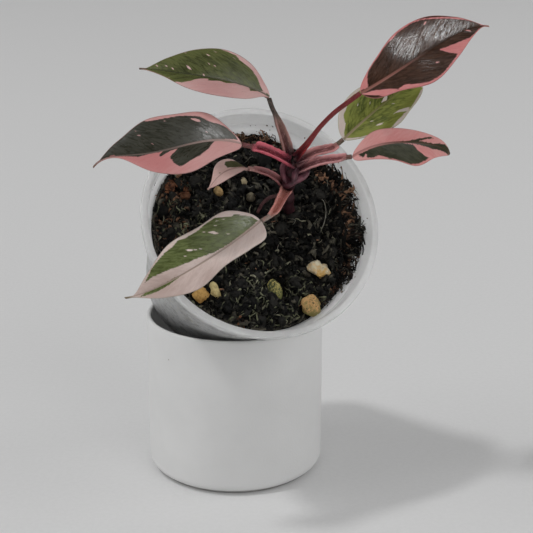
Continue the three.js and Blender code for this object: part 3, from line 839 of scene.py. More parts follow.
def tufts(name, clusters, seed, skin, power):
    """Clusters are (bearing, spread, count, rise). Radius: from the soil's edge to the wall by s^0.6.

    Height: from below the soil by rise · sin(k s), and k from 1.2 to 2.6 says how far one bends over."""
    rows = 9
    rng = np.random.default_rng(seed)
    s = np.linspace(0, 1, rows)
    bearing, spread, count, rise = np.array(clusters, float).T
    count = count.astype(int)
    total = count.sum()
    bearing = np.repeat(bearing, count) + rng.normal(0, 1, total) * np.repeat(spread, count)
    middle = np.radians(bearing)[:, None]
    wave = rng.uniform(0.005, 0.035, (total, 1)) * np.sin(7 * s + rng.uniform(0, 6, (total, 1)))
    angle = middle + rng.normal(0, 0.07, (total, 1)) * s + wave
    angle = angle + np.cumsum(rng.normal(0, 0.018, (total, rows)), 1)
    low = edge_height(middle) - 2.0
    tall = (np.repeat(rise, count) * rng.uniform(0.3, 1, total) ** 1.5)[:, None]
    z = low + (tall + 2) * np.sin(s * rng.uniform(1.2, 2.6, (total, 1)))
    start = rng.uniform(45.5, 49.5, (total, 1))
    radius = np.minimum(mixed(start, inner_wall(z) - 0.6, s**0.6), inner_wall(z) - 0.6)
    lines = polar(radius, angle, z)
    girth = rng.uniform(0.25, 1.15, (total, 1)) * rng.uniform(0.4, 1.3, (total, rows)) * (1 - 0.6 * s)
    points, faces = many_tubes(lines, girth, flat=0.35)
    tone = shares(rng, total, len(points) // total, power)
    piece(name, in_place(points), faces, skin, "potting_mix", tone=tone)


brown_husk = litter_finish("brown_husk", (0.005, 0.004, 0.0035), (0.26, 0.145, 0.085), 140.0)
RIGHT = [(34, 3, 18, 4), (27, 2, 22, 6), (16, 1.5, 28, 9), (10, 2, 8, 2.5), (4.7, 0.9, 16, 6),
         (-3, 2, 6, 2), (-9.4, 1, 22, 9), (-17.4, 1.2, 20, 8), (-25, 3, 8, 2), (-32, 1.5, 14, 5.5),
         (-40, 3, 9, 2.5), (-50, 4, 9, 2.5)]
TOP = [(98, 1.6, 20, 3.6), (91, 1.4, 22, 4.2), (83, 1.6, 22, 3.2), (74, 1.5, 18, 4), (66, 2.5, 10, 1.6)]
AROUND = [(bearing, 5, 14, 2.5) for bearing in range(105, 300, 12)]
LEFT_HEAP = [(-40, 6), (14, 13)]
scatter_strands("left_husks", 240, 36, (2, 6), 1.2, (0.5, 3.4), (0.3, 0.9), brown_husk, 1.6, 0.3, LEFT_HEAP)
for name, clusters, seed, skin, power in (
    ("right_tufts", RIGHT, 31, brown_husk, 7.0),
    ("dark_right_tufts", RIGHT, 35, dark_husk, 2.5),
    ("top_tufts", TOP, 32, brown_husk, 2.0),
    ("edge_husks", AROUND, 33, dark_husk, 1.5),
):
    tufts(name, clusters, seed, skin, power)

# %% [markdown]
# Between the fibres lie crumbs: one small twenty-sided lump, stretched, turned and set down over
# and over. Bark chips and pale grains are the same lump, flatter and gathered in heaps.

# %% Crumbs
GOLD = (1 + 5**0.5) / 2
crumb_points = np.array([(0, a, b * GOLD) for a in (-1, 1) for b in (-1, 1)], float)
crumb_points = np.vstack([np.roll(crumb_points, k, 1) for k in range(3)]) / 1.9
gaps = np.linalg.norm(crumb_points[:, None] - crumb_points, axis=-1)
near = (gaps > 0.1) & (gaps < gaps[gaps > 0.1].min() * 1.01)
i, j, k = np.nonzero(near[:, :, None] & near[None] & near[:, None])
crumb_faces = np.stack([i, j, k], 1)[(i < j) & (j < k)]
first, second, third = (crumb_points[crumb_faces[:, n]] for n in range(3))
inwards = np.einsum("ij,ij->i", first, np.cross(second - first, third - first)) < 0
crumb_faces[inwards] = crumb_faces[inwards][:, ::-1]
crumb_shape = crumb_points * (1 + 0.35 * draws(3, len(crumb_points))[:, None])


def crumbs(name, places, sizes, rng, skin, power, slot="potting_mix", drawn_in=False):
    """Crumbs at places, each with its own size, turn and tone; drawn in where the soil left the wall."""
    points, faces = copies(crumb_shape, [crumb_faces], places, sizes, rng)
    tone = shares(rng, len(places), len(crumb_shape), power)
    piece(name, in_place(shrunk(points) if drawn_in else points), faces, skin, slot, tone=tone)


rng = np.random.default_rng(23)
count = 2600
x, y = scattered(rng, count)
z = on_soil(x, y) + rng.uniform(0, 1.2, count)
places = np.stack([x, y, np.where(off_lumps(x, y, 0.4), z, z - SUNK)], 1)
sizes = rng.uniform(0.2, 1.0, (count, 1)) ** 1.6 * rng.uniform(0.6, 1.3, (count, 3)) * 1.2
crumb_skin = litter_finish("soil_crumbs", (0.004, 0.004, 0.0035), (0.09, 0.078, 0.058), 420.0)
crumbs("soil_crumbs", places, sizes, rng, crumb_skin, 3.0, drawn_in=True)

# %% Crumbs caught in the tufts
CAUGHT = 300
rng = np.random.default_rng(27)
bearing, spread, _, rise = (np.repeat(v, CAUGHT) for v in np.array(RIGHT + TOP, float).T)
count = len(bearing)
angle = np.radians(bearing + rng.normal(0, 1.2, count) * (spread + 0.6))
up = rng.uniform(0, 1, count) ** 1.5
z = edge_height(angle) + 0.85 * rise * up - 0.8
radius = mixed(rng.uniform(44, 49, count), inner_wall(z) - 0.9, up**0.5)
sizes = rng.uniform(0.2, 1.0, (count, 1)) * rng.uniform([0.6, 0.2, 0.15], [2.2, 0.8, 0.45], (count, 3))
sizes = sizes * (1 - 0.35 * up[:, None])
crumbs("tuft_crumbs", polar(radius, angle, z), sizes, rng, brown_husk, 4.5)


# %% Bark chips and pale bits
CHIP_REACH = 51.2


def chips(name, heaps, seed, skin, slot="bark"):
    """Heaps of chips: each heap is (x, y, spread, how many, largest half length) in mm."""
    rng = np.random.default_rng(seed)
    x, y, size = (np.concatenate(v) for v in zip(*[
        (hx + rng.normal(0, far, n), hy + rng.normal(0, far, n), rng.uniform(0.35, 1, n) * big)
        for hx, hy, far, n, big in heaps
    ]))
    keep_in = np.minimum(1, (CHIP_REACH - size) / np.hypot(x, y))
    x, y = x * keep_in, y * keep_in
    z = on_soil(x, y) + rng.uniform(0, 1.8, len(x))
    wide, high = (size * rng.uniform(low, top, len(x)) for low, top in ((0.2, 0.5), (0.10, 0.25)))
    flat = np.stack([size * 1.15, wide, high], 1)
    crumbs(name, np.stack([x, y, z], 1), flat, rng, skin, 1.3, slot)


red_bark = litter_finish("red_bark", (0.030, 0.012, 0.008), (0.40, 0.17, 0.085), 110.0)
brown_bark = litter_finish("brown_bark", (0.022, 0.013, 0.009), (0.42, 0.23, 0.14), 110.0)
RED_HEAPS = [(-42.5, 31, 2.4, 60, 2.2), (-38, 25, 2.6, 44, 2.2), (-31, 26, 2, 22, 2),
             (-42.6, 20, 1.6, 10, 1.8), (-16.6, -43, 2.6, 18, 2), (39.5, -35.6, 2.5, 16, 2)]
BROWN_HEAPS = [(44.5, 29, 2.8, 80, 3.4), (47.5, 22, 2.4, 30, 3.4), (40, 33, 2.5, 16, 2.6),
               (-46, 12, 2.4, 16, 1.8), (-48, -2, 1.5, 10, 1.8), (12, 47, 4, 16, 1.8),
               (0, 0, 24, 60, 1.3)]
chips("red_bark_chips", RED_HEAPS, 41, red_bark)
chips("brown_bark_chips", BROWN_HEAPS, 42, brown_bark)
pale_grit = litter_finish("pale_grit", (0.20, 0.17, 0.12), (0.50, 0.46, 0.36))
PALE_SPOTS = [(5.8, -11), (21.9, -7.1), (26.6, -8.1), (30.6, -12.3), (33.3, -12.5), (-15.7, -20),
              (-10.3, -19), (16.2, -20.5), (2.6, -48), (8.8, -48.6), (-18.5, -33.3), (-49.4, 5.2),
              (-48.2, -3.3)]
chips("pale_bits", [(x, y, 0.5, 3, 0.9) for x, y in PALE_SPOTS], 43, pale_grit, "pale_pumice")

# %% [markdown]
# Light stones lie among the mix, pale, ochre and mossy pumice and baked clay, with two lumps of bark
# beside them. Each is a ball with six flat knocks, as in the construction model, and here twelve
# shallower ones are added and the skin is swollen and pitted by noise. Bark is split along its
# layers too, and one long stone has a waist.


# %% Stones and bark lumps
FIRST_SEED = 100
WAISTS = {"pumice_6": 0.30}


def stone_points(at, size, turn, seed, waist, layered):
    """A ball flattened by knocks: past each knock's reach a point moves back by 0.8 of its excess."""
    shallow = mixed(np.array([0, 0, 0, 0.5]), 1, draws(seed + 50, 48).reshape(12, 4))
    stone = ball(50, 72)
    for knock in np.vstack([draws(seed, 24).reshape(6, 4), shallow]):
        toward = unit(knock[:3] - 0.5)
        excess = np.maximum(stone @ toward - 0.72 - 0.2 * knock[3], 0)
        stone = stone - 0.8 * excess[..., None] * toward
    notch = waist * np.exp(-(((stone[..., 0] - 0.15) / 0.25) ** 2)) * (0.6 + 0.6 * stone[..., 1])
    pits = rough(stone * size + 40 * seed, 1.5, 4)
    swells = lumpy(stone * size + 11 * seed, 3.2)
    ragged = 0.30 * rough(stone * size * [1, 1, 3] + 7 * seed, 1.1, 3) if layered else 0
    relief = 0.24 * swells + 0.07 * pits - 0.12 * eased(pits, 0.2, 0.9) + ragged - notch
    local = stone * size * (1 + relief[..., None])
    a = math.radians(turn)
    spin = np.array([[math.cos(a), math.sin(a), 0], [-math.sin(a), math.cos(a), 0], [0, 0, 1]])
    centre = np.array([*at, float(soil_height(*at)) + 0.35 * size[2]])
    local = local @ spin
    # Painted light: this value grows up the slope and towards the stone's top, where the finish makes it
    # lighter.
    dry = 0.4 * local[..., 2] / size[2] + 0.9 * local[..., 1] / size[1]
    points, faces = tube(local + centre)
    return points, faces, np.append(dry.ravel(), [0.4, -0.4])


def stone_finish(name, shaded_below, dry, dirt, bare=0.62):
    """Painted light: a shaded tone down the slope and a lit tone up it, broken by noise; dirt where noise
    passes bare.
    """
    made = Finish(name, Roughness=0.8, Specular_IOR_Level=0.35)
    at = made.object_place()
    mottle = made.noise(at, 330.0, 4.0, 0.65)
    grain = made.noise(at, 1000.0, 4.0, 0.65)
    # Painted light: lighter up the slope and on top, darker below.
    level = made.sum("ADD", made.stored("dry"), made.span(mottle, 0.25, 0.75, -1.2, 1.1))
    colour = made.blend(made.span(level, -1.1, 0.9), shaded_below, dry)
    dirty = made.sum("MULTIPLY_ADD", grain, 0.5, made.sum("MULTIPLY", mottle, 0.5))
    colour = made.blend(made.span(dirty, bare - 0.05, bare + 0.05), colour, dirt)
    return made.done(colour, normal=made.bump(made.sum("ADD", mottle, grain), 0.0005, 0.8))


# The stone's kind, its painted shaded and painted lit tones, its dirt tone, and how bare of dirt it is.
STONE_TONES = {
    "pumice_1": ("ochre_pumice", (0.36, 0.22, 0.09), (0.74, 0.52, 0.23), (0.06, 0.04, 0.02)),
    "pumice_2": ("pale_pumice", (0.06, 0.05, 0.03), (0.20, 0.17, 0.11), (0.02, 0.018, 0.012)),
    "pumice_3": ("ochre_pumice", (0.20, 0.16, 0.09), (0.56, 0.47, 0.29), (0.05, 0.04, 0.028)),
    "pumice_4": ("pale_pumice", (0.40, 0.31, 0.13), (0.74, 0.62, 0.30), (0.20, 0.14, 0.05)),
    "clay_1": ("baked_clay", (0.34, 0.17, 0.04), (0.66, 0.40, 0.13), (0.14, 0.07, 0.02)),
    "pumice_5": ("mossy_pumice", (0.26, 0.27, 0.09), (0.78, 0.66, 0.22), (0.09, 0.11, 0.045), 0.50),
    "pumice_6": ("pale_pumice", (0.80, 0.50, 0.17), (0.93, 0.84, 0.62), (0.40, 0.24, 0.08), 0.58),
    "clay_2": ("baked_clay", (0.26, 0.22, 0.07), (0.88, 0.54, 0.23), (0.12, 0.10, 0.032), 0.57),
    "bark_1": ("bark", (0.05, 0.022, 0.012), (0.24, 0.10, 0.05), (0.012, 0.007, 0.005)),
    "bark_2": ("bark", (0.05, 0.024, 0.014), (0.22, 0.095, 0.045), (0.012, 0.007, 0.005)),
}
for seed, (name, spot, size, turn) in enumerate(LUMPS, FIRST_SEED):
    slot, *tones = STONE_TONES[name]
    points, faces, dry = stone_points(spot, size, turn, seed, WAISTS.get(name, 0), slot == "bark")
    skin = stone_finish(f"skin_of_{name}", *tones)
    piece(f"lump_{name}", in_place(points), faces, skin, slot, [name], dry=dry)

# %% [markdown]
# Stems, roots and leaf stalks are outlines carried along a smooth curve. The curve through given
# points is the centripetal one: the time between two points is the root of their distance, which
# keeps the curve from looping where points lie close together.


# %% Curves and what is carried along them
def curve_through(knots, count):
    """Centripetal curve: between b and c, lines through a..d are blended in a pyramid of shares."""
    p = np.asarray(knots, float)
    p = np.vstack([2 * p[0] - p[1], p, 2 * p[-1] - p[-2]])
    step = np.maximum(np.linalg.norm(np.diff(p, axis=0), axis=1) ** 0.5, 1e-4)
    place = np.linspace(0, len(knots) - 1, count)
    i = np.minimum(place.astype(int), len(knots) - 2)
    a, b, c, d = p[i], p[i + 1], p[i + 2], p[i + 3]
    s0, s1, s2 = (step[i + k][:, None] for k in range(3))
    leaving = ((b - a) / s0 - (c - a) / (s0 + s1) + (c - b) / s1) * s1
    arriving = ((c - b) / s1 - (d - b) / (s1 + s2) + (d - c) / s2) * s1
    t = (place - i)[:, None]
    return (
        (2 * t**3 - 3 * t**2 + 1) * b
        + (t**3 - 2 * t**2 + t) * leaving
        + (3 * t**2 - 2 * t**3) * c
        + (t**3 - t**2) * arriving
    )


def carried(line, wide, high, up):
    """Rings round a line: point = centre + across · wide + upward · high, across being along × up."""
    along = unit(np.gradient(line, axis=0))
    across = unit(np.cross(along, up))
    upward = np.cross(across, along)
    return line[:, None] + across[:, None] * wide[..., None] + upward[:, None] * high[..., None]


# %% Stem and air root
STEM = [(21.5, 10, -36), (21, 10.5, -20), (18, 13, -8), (16.5, 17, 2), (16.5, 20, 9), (16.5, 24, 14)]
ROOT = [(14, 14, -8), (9.5, 14, -7), (6, 13, -10.5), (4, 10.5, -17), (4, 10, -25)]
around = np.linspace(0, 2 * np.pi, 48, endpoint=False)


def stalk_finish(name, dark, light, darkened_and_crease_shade_tone, roughness=0.45):
    """Smooth skin of a stem: fine lines along it, a change of colour along it, and a darker tone at the
    stem's joints, towards the air root's lower end and, as painted shade, in the collar's creases.
    """
    made = Finish(name, Roughness=roughness, Specular_IOR_Level=0.4)
    at = made.object_place()
    cloud = made.noise(at, 160.0, 4.0, 0.6)
    fine = made.noise(at, 900.0, 3.0)
    colour = made.blend(made.span(cloud, 0.3, 0.7), dark, light)
    colour = made.blend(made.span(made.stored("joint"), 0.5, 1.0), colour, darkened_and_crease_shade_tone)
    return made.done(colour, normal=made.bump(fine, 0.00015, 0.5))


def limb(name, knots, radius, joint, skin, solid):
    """A round limb along a curve, with a radius for each row and column and a darkening value for each row.
    """
    wide, high = radius * np.cos(around), radius * np.sin(around)
    points, faces = tube(carried(curve_through(knots, len(radius)), wide, high, [0, 1, 0]))
    joint = np.append(np.repeat(joint.ravel(), len(around)), [0, 0])
    piece(name, in_place(points), faces, skin, "stem_skin", [solid], joint=joint)


t = np.linspace(0, 1, 120)[:, None]
swell = np.cos(2 * np.pi * 5 * t)
radius = (3 + 0.35 * swell - 0.4 * t + 0.06 * np.cos(5 * around)) * (1 - 0.8 * eased(t, 0.80, 1.0))
stem_skin = stalk_finish("stem_skin", (0.020, 0.006, 0.009), (0.085, 0.027, 0.034), (0.03, 0.010, 0.013))
limb("stem_body", STEM, radius, swell, stem_skin, "stem")

t = np.linspace(0, 1, 90)[:, None]
radius = 0.9 * (1.1 - 0.3 * t) * (1 + 0.06 * np.sin(40 * t) * np.cos(around))
root_skin = stalk_finish("root_skin", (0.07, 0.025, 0.028), (0.16, 0.07, 0.068), (0.05, 0.03, 0.022), 0.6)
limb("air_root", ROOT, radius, eased(t, 0.5, 0.9), root_skin, "root")

# %% [markdown]
# Watering splashes crumbs up the wall, and some stick there. On the right one long pale root bows
# out of the soil and back. Both are small, but a pot in use has them and a new one hasn't.

# %% Specks that stuck to the wall
SPLASHED = [-38, -20, 5, 20, 70, 85, 150, 200, 250]
rng = np.random.default_rng(51)
count = 90
angle = np.radians(rng.choice(SPLASHED, count) + rng.normal(0, 9, count))
z = edge_height(angle) + rng.uniform(0, 1, count) ** 2 * 9 + 1
sizes = rng.uniform(0.12, 0.5, (count, 1)) * rng.uniform(0.5, 1.2, (count, 3))
crumbs("wall_specks", polar(inner_wall(z) - 0.15, angle, z), sizes, rng, brown_husk, 1.5)

# %% One long pale root in a bow over the soil
BOW = [(36.6, 16.5, -16.5), (38.6, 11.5, -14), (38.4, 5.5, -13.6), (36.2, -0.5, -14.4), (34.2, -4, -17)]
bow = curve_through(BOW, 60)
thin = 0.22 * np.sin(np.linspace(0.15, 3.0, 60))[:, None] ** 0.4
points, faces = tube(carried(bow, thin * np.cos(around[::4]), thin * np.sin(around[::4]), [0, 0, 1]))
piece("pale_root", in_place(points), faces, pale_fibre, "potting_mix", tone=np.full(len(points), 0.7))

# %% [markdown]
# A young sheath still wraps the stem below the leaves like a turned-up collar. Seen from above it
# is three folds: one stands at the stem's left, one in front of it, and the thickest lies across it
# and runs out to a point. Each is a bulging tube along a curve, creased along one side, and painted
# shade darkens the crease.

# %% The collar's folds
# How thick each fold is, and the points its middle goes through.
FOLDS = {
    "collar_left": (1.9, [(14.2, 26, 10), (12.6, 22.5, 9), (12.6, 18, 8), (14.2, 14.2, 6.5)]),
    "collar_right": (
        3.3,
        [(12.4, 14.2, 5), (15.6, 16.6, 7.5), (20.4, 18.6, 7.5), (24.2, 20.2, 6.5), (27.2, 22.5, 5.5)],
    ),
    "collar_front": (1.6, [(18.6, 21, 12), (17.2, 18.5, 11.5), (16.4, 16, 10), (15.8, 13.5, 7)]),
}
# Dark and light skin, and the darker tone that is painted shade in the creases.
collar_tones = [(0.040, 0.010, 0.018), (0.26, 0.10, 0.125), (0.05, 0.014, 0.022)]
collar_skin = stalk_finish("collar_skin", *collar_tones, 0.30)
t = np.linspace(0, 1, 80)[:, None]
lip = np.maximum(0, np.sin(around - 0.6))
for name, (thick, knots) in FOLDS.items():
    bulge = thick * np.sin(np.pi * mixed(0.10, 0.985, t**0.8)) ** 0.7
    high = 0.75 * bulge * np.sin(around) - 0.4 * bulge * lip**5
    points, faces = tube(carried(curve_through(knots, 80), bulge * np.cos(around), high, [0, 0, 1]))
    # Painted shade: the creased side of each fold gets the darker tone.
    joint = np.append((0.9 * lip**4 + 0 * t).ravel(), [0, 0])
    piece(name, in_place(points), faces, collar_skin, "stem_skin", joint=joint)

# %% [markdown]
# A leaf stalk of this plant is round below the blade and winged lower down: two raised rims run
# beside a groove that once wrapped the next leaf. Its outline is an ellipse whose upper side is
# pressed in, and the pressing fades out at the sheath's end. Each leaf is one entry of a table: its
# stalk, the sheath's width and where along the stalk it ends, the blade's base and tip, its half
# widths on each side at six places, and how it bows. Fade, later, narrow, dark and lean are set
# only where a leaf differs from the others; dark is how many mm of the stalk's base get painted shade.

# %% The seven leaves
# Places are in the pot's own frame, in mm, and the base and tip are the blade's.
LEAVES = {
    "1": {
        "stalk": [(15, 26, 14), (11, 31.5, 24), (6.5, 38.5, 32), (3, 43, 37), (1.5, 46.5, 39.5)],
        "sheath": (2.8, 0.66),
        "fade": 0.22,
        "later": -0.6,
        "base": (1.5, 47, 40),
        "tip": (-57, 68, 34),
        "left": (3.5, 14, 17.5, 15, 6.5, 1.5),
        "right": (6.5, 15.5, 19, 15.5, 8, 0.5),
        "bow": {"roll": -26, "fold": 20, "arch": 5, "bend": 3.5, "skew": -1.2, "hook": -2, "wave": 0.5},
    },
    "2": {
        "stalk": [(15, 23, 15), (2.5, 22, 31), (-6.5, 22, 39), (-11, 21.5, 42), (-17, 22.5, 43.5)],
        "sheath": (2.9, 0.8),
        "later": -0.7,
        "base": (-17.5, 22.5, 44),
        "tip": (-85, 21, 32),
        "left": (6, 12, 17.5, 12.5, 2, 0.5),
        "right": (6, 14.5, 16.5, 16.5, 7.5, 0.5),
        "bow": {"roll": -16, "fold": 18, "arch": 6, "bend": 9.5, "skew": -1.2, "hook": -11.5, "wave": 0.5},
    },
    "3": {
        "stalk": [(13.5, 16.5, 1.5), (7.5, 18, 9.5), (1.5, 19, 15), (-4.5, 19.5, 18), (-8.5, 19.5, 20)],
        "sheath": (1.9, 0.82),
        "base": (-9, 19.5, 20),
        "tip": (-28.5, 13, 13),
        "left": (1, 4.5, 7, 7, 4, 0.5),
        "right": (1, 6.5, 8, 7, 2.5, 0.5),
        "bow": {"roll": -38, "fold": 16, "arch": 2.5, "bend": -3.5, "skew": 0, "hook": 1.5, "wave": 0},
    },
    "4": {
        "stalk": [(15, 15, 1), (9.5, 8.5, 9), (3, 0, 15), (-1, -4, 17.5), (-7, -7.5, 20)],
        "sheath": (2.8, 0.8),
        "narrow": 0.5,
        "dark": 2.5,
        "base": (-7.5, -7.5, 20),
        "tip": (-75.5, -36, 11),
        "left": (9.5, 9.5, 8.5, 12, 7.5, 1),
        "right": (7.5, 15, 15.5, 15.5, 8, 0.5),
        "bow": {"roll": -19, "fold": 20, "arch": 6, "bend": 6, "skew": 0, "hook": 2, "wave": 0.4},
    },
    "5": {
        "stalk": [(17.5, 25.5, 15), (21, 28, 25), (25.5, 32, 36), (30.5, 35, 45), (35.5, 37, 51),
                  (41.5, 40, 54)],
        "sheath": (2.1, 0.45),
        "fade": 0.42,
        "base": (42, 40, 54),
        "tip": (114.5, 70.5, 57),
        "left": (5, 11, 16.5, 15.5, 8, 1),
        "right": (6.5, 9.5, 15.5, 12, 6, 1),
        "bow": {"roll": 10, "fold": 12, "arch": 6, "bend": -1.5, "skew": 1.1, "hook": 3, "wave": 0.5},
        "lean": 1.2,
    },
    "6": {
        "stalk": [(18.5, 24, 11.5), (26, 25.5, 20), (33, 24.5, 27), (35.5, 25.5, 29), (38, 27, 30)],
        "sheath": (2.3, 0.72),
        "base": (38.5, 27, 30),
        "tip": (80.5, 55, 36),
        "left": (6.5, 12.5, 15, 13.5, 10.5, 6),
        "right": (4.5, 10, 15.5, 13.5, 10.5, 6),
        "bow": {"roll": 24, "fold": 16, "arch": 4, "bend": -1, "skew": 0, "hook": -1, "wave": 0.4},
    },
    "7": {
        "stalk": [(18.5, 21.5, 9), (26.5, 20, 21.5), (34.5, 16.5, 33), (38, 15.5, 36)],
        "sheath": (2.45, 0.82),
        "later": -0.7,
        "base": (38.5, 15.5, 36),
        "tip": (87.5, 12.5, 39),
        "left": (3.5, 7, 7, 6, 4.5, 3),
        "right": (3.5, 6, 8.5, 11.5, 6.5, 3),
        "bow": {"roll": -16, "fold": 14, "arch": 4, "bend": 3.5, "skew": 0.8, "hook": 3, "wave": 0.4},
    },
}

# %% Leaf stalks
STALK_RADIUS = 1.15
# Painted shade for the groove, pink with a painted highlight for the rims, then the back of the sheath and
# the thin upper stalk.
STALK_TONES = {
    "1": [(0.102, 0.036, 0.031), (0.633, 0.357, 0.344), (0.336, 0.185, 0.143), (0.062, 0.056, 0.044)],
    "2": [(0.130, 0.014, 0.024), (0.820, 0.200, 0.250), (0.660, 0.120, 0.170), (0.144, 0.060, 0.054)],
    "3": [(0.221, 0.085, 0.085), (0.575, 0.263, 0.263), (0.308, 0.119, 0.119), (0.432, 0.240, 0.216)],
    "4": [(0.400, 0.150, 0.120), (0.880, 0.410, 0.360), (0.700, 0.310, 0.270), (0.312, 0.260, 0.221)],
    "5": [(0.080, 0.008, 0.010), (0.500, 0.090, 0.090), (0.310, 0.040, 0.042), (0.210, 0.030, 0.032)],
    "6": [(0.190, 0.068, 0.066), (0.920, 0.470, 0.470), (0.720, 0.330, 0.320), (0.125, 0.100, 0.064)],
    "7": [(0.200, 0.072, 0.076), (0.950, 0.500, 0.520), (0.660, 0.290, 0.280), (0.130, 0.068, 0.052)],
}


def stalk_rings(leaf):
    """Below, a keel of about the stalk's radius. Above, half the wing less 0.75 of it · sin³, and lips."""
    rows = 130
    width, end = leaf["sheath"]
    fade, narrow, later = (leaf.get(k, v) for k, v in (("fade", 0.03), ("narrow", 0.24), ("later", 0.6)))
    t = np.linspace(0, 1, rows)[:, None]
    side, top = np.cos(around), np.sin(around)
    late = 1 - eased(t, end - fade, end + 0.03)
    early = 1 - eased(t, end - fade - 0.20, end - 0.06)
    winged = mixed(early, late, 0.5 + 0.5 * later * side)
    wide = mixed(STALK_RADIUS, width * (1.12 - narrow * t / end), winged)
    keel = STALK_RADIUS * (1.25 - 0.25 * eased(t, end - 0.3, end + 0.05))
    deep = np.where(top > 0, mixed(STALK_RADIUS, 0.5 * width, winged), keel)
    line = curve_through(leaf["stalk"], rows)
    length = np.linalg.norm(np.diff(line, axis=0), axis=1).sum()
    run = np.stack([1.6 * side + 0 * t, 1.6 * top + 0 * t, 0.10 * length * t + 0 * around], -1)
    ripple = winged * (0.30 * lumpy(run + width, 0.75) + 0.15 * lumpy(run * [1, 1, 5] + 7, 0.6))
    groove = winged * np.maximum(0, top) ** 3
    rim = winged * np.exp(-(((top - 0.46) / 0.26) ** 2))
    out = 1 + (0.12 * rim * lumpy(run * [0, 0, 6] + 3 * width, 0.8) + ripple / width)
    high = deep * top * out - 0.75 * width * groove + 0.24 * width * rim
    rings = carried(line, wide * side * out, high, [0, 0, 1])
    run = np.vstack([run.reshape(-1, 3), run[0, :1], run[-1, :1]])
    # Painted shade: the stalk darkens over its first millimetres, where it leaves the crown among the other
    # stalks.
    base_shade = 1 - eased(t * length, 1.0, leaf.get("dark", 7.0)) + 0 * around
    return rings, run, [np.append(v.ravel(), [0, 0]) for v in (groove, rim, winged, base_shade)]


def winged_stalk_finish(name, tones):
    """Four tones: painted shade in the groove, rims whose pink carries a painted highlight, the back of the
    sheath and the thin upper stalk, each streaked lengthwise. Painted shade darkens the stalk's base.
    """
    made = Finish(
        name,
        Specular_IOR_Level=0.35,
        Subsurface_Weight=0.08,
        Subsurface_Radius=(1.0, 0.45, 0.35),
        Subsurface_Scale=0.0006,
    )
    run = made.stored("run", "Vector")
    streak = made.noise(run, 1.1, 4.0, 0.65)
    fine = made.noise(run, 4.0, 3.0, 0.6)
    groove, rim, back, thin = tones
    colour = made.blend(made.stored("winged"), thin, back)
    # Painted highlight on the rims and painted shade in the groove.
    colour = made.blend(made.stored("rim"), colour, rim)
    colour = made.blend(made.span(made.stored("groove"), 0.45, 0.95), colour, groove)
    colour = made.blend(made.span(streak, 0.48, 0.66, 0.0, 0.7), colour, groove)
    colour = made.blend(made.span(fine, 0.56, 0.70, 0.0, 0.6), colour, rim)
    # Painted shade at the base of the stalk.
    colour = made.blend(made.sum("MULTIPLY", made.stored("base_shade"), 0.8), colour, (0.035, 0.010, 0.018))
    normal = made.bump(made.sum("ADD", fine, streak), 0.0003, 0.6)
    return made.done(colour, made.span(streak, 0.3, 0.7, 0.18, 0.36), normal)


for key, leaf in LEAVES.items():
    rings, run, numbers = stalk_rings(leaf)
    points, faces = tube(rings)
    skin = winged_stalk_finish(f"stalk_skin_{key}", STALK_TONES[key])
    values = dict(zip(("groove", "rim", "winged", "base_shade", "run"), [*numbers, run]))
    piece(f"leaf_stalk_{key}", in_place(points), faces, skin, "petiole_skin", [f"petiole_{key}"], **values)

# %% [markdown]
# A blade is a closed sheet half a millimetre thick. Its points are worked out from two numbers: how
# far along the midrib, and which share of the half width to one side. Along the way it stores what
# the pattern needs: millimetres along and across, distance from the margin, and a vein number that
# stays the same along each side vein, so a streak that follows the veins is a streak of that number.
# The pink patches are drawn as outlines in those same leaf coordinates, and each point stores how
# far inside the nearest outline it is. The finish then breaks the edge up along the veins.


# %% The shape of a blade
FAR_OUT = -50.0


def half_width(widths, turn):
    """A smooth curve through zero, the six widths and zero, at even steps of the turn."""
    knots = np.array([-widths[0], 0, *widths, 0, -widths[-1]], float)
    place = np.minimum(turn / np.pi * 7, 7 - 1e-6)
    i = place.astype(int)
    f = place - i
    a, b, c, d = (knots[i + k] for k in range(4))
    curve = 2 * b + (c - a) * f + (2 * a - 5 * b + 4 * c - d) * f**2 + (3 * b - a - 3 * c + d) * f**3
    return np.maximum(curve / 2, 0.5)


def flat_place(leaf, turn, side):
    """Millimetres along the chord, (1 - cos turn) / 2 of its length, and across it."""
    length = np.linalg.norm(np.subtract(leaf["tip"], leaf["base"]))
    width = np.where(side >= 0, half_width(leaf["left"], turn), half_width(leaf["right"], turn))
    return (1 - np.cos(turn)) / 2 * length, width * side, width


def blade_points(leaf, turn, side):
    """Base + along · t + sideways · (width + bend + hook) + normal · (arch + fold + wave)."""
    bow, base = leaf["bow"], np.array(leaf["base"], float)
    chord = np.array(leaf["tip"]) - base
    length = np.linalg.norm(chord)
    along = chord / length
    level = unit(np.array([0, 0, 1]) - along * along[2])
    roll = math.radians(bow["roll"])
    normal = level * math.cos(roll) + np.cross(level, along) * math.sin(roll)
    sideways = np.cross(normal, along)
    t = (1 - np.cos(turn)) / 2
    reach = np.abs(side)
    _, across, width = flat_place(leaf, turn, side)
    humped = 4 * t * (1 - t)
    ripple = bow["wave"] * reach**2 * np.sin(turn) * np.sin(3 * turn + np.where(side >= 0, 0, 2))
    fold = math.tan(math.radians(bow["fold"])) * np.abs(across) * (1 - 0.4 * reach)
    sway = bow["bend"] * humped * (1 + bow["skew"] * (1 - 2 * t)) + bow["hook"] * (t - t**10) / 0.7
    return (
        base
        + along * (t * length)[..., None]
        + sideways * (across + sway)[..., None]
        + normal * (bow["arch"] * humped + fold + ripple)[..., None]
    )


def vein_number(leaf, along, across):
    """Where the side vein through a point left the midrib: it runs forward by lean · |y| + 0.045 y²."""
    reach = np.abs(across)
    return along - leaf.get("lean", 0.9) * reach - 0.045 * reach**2


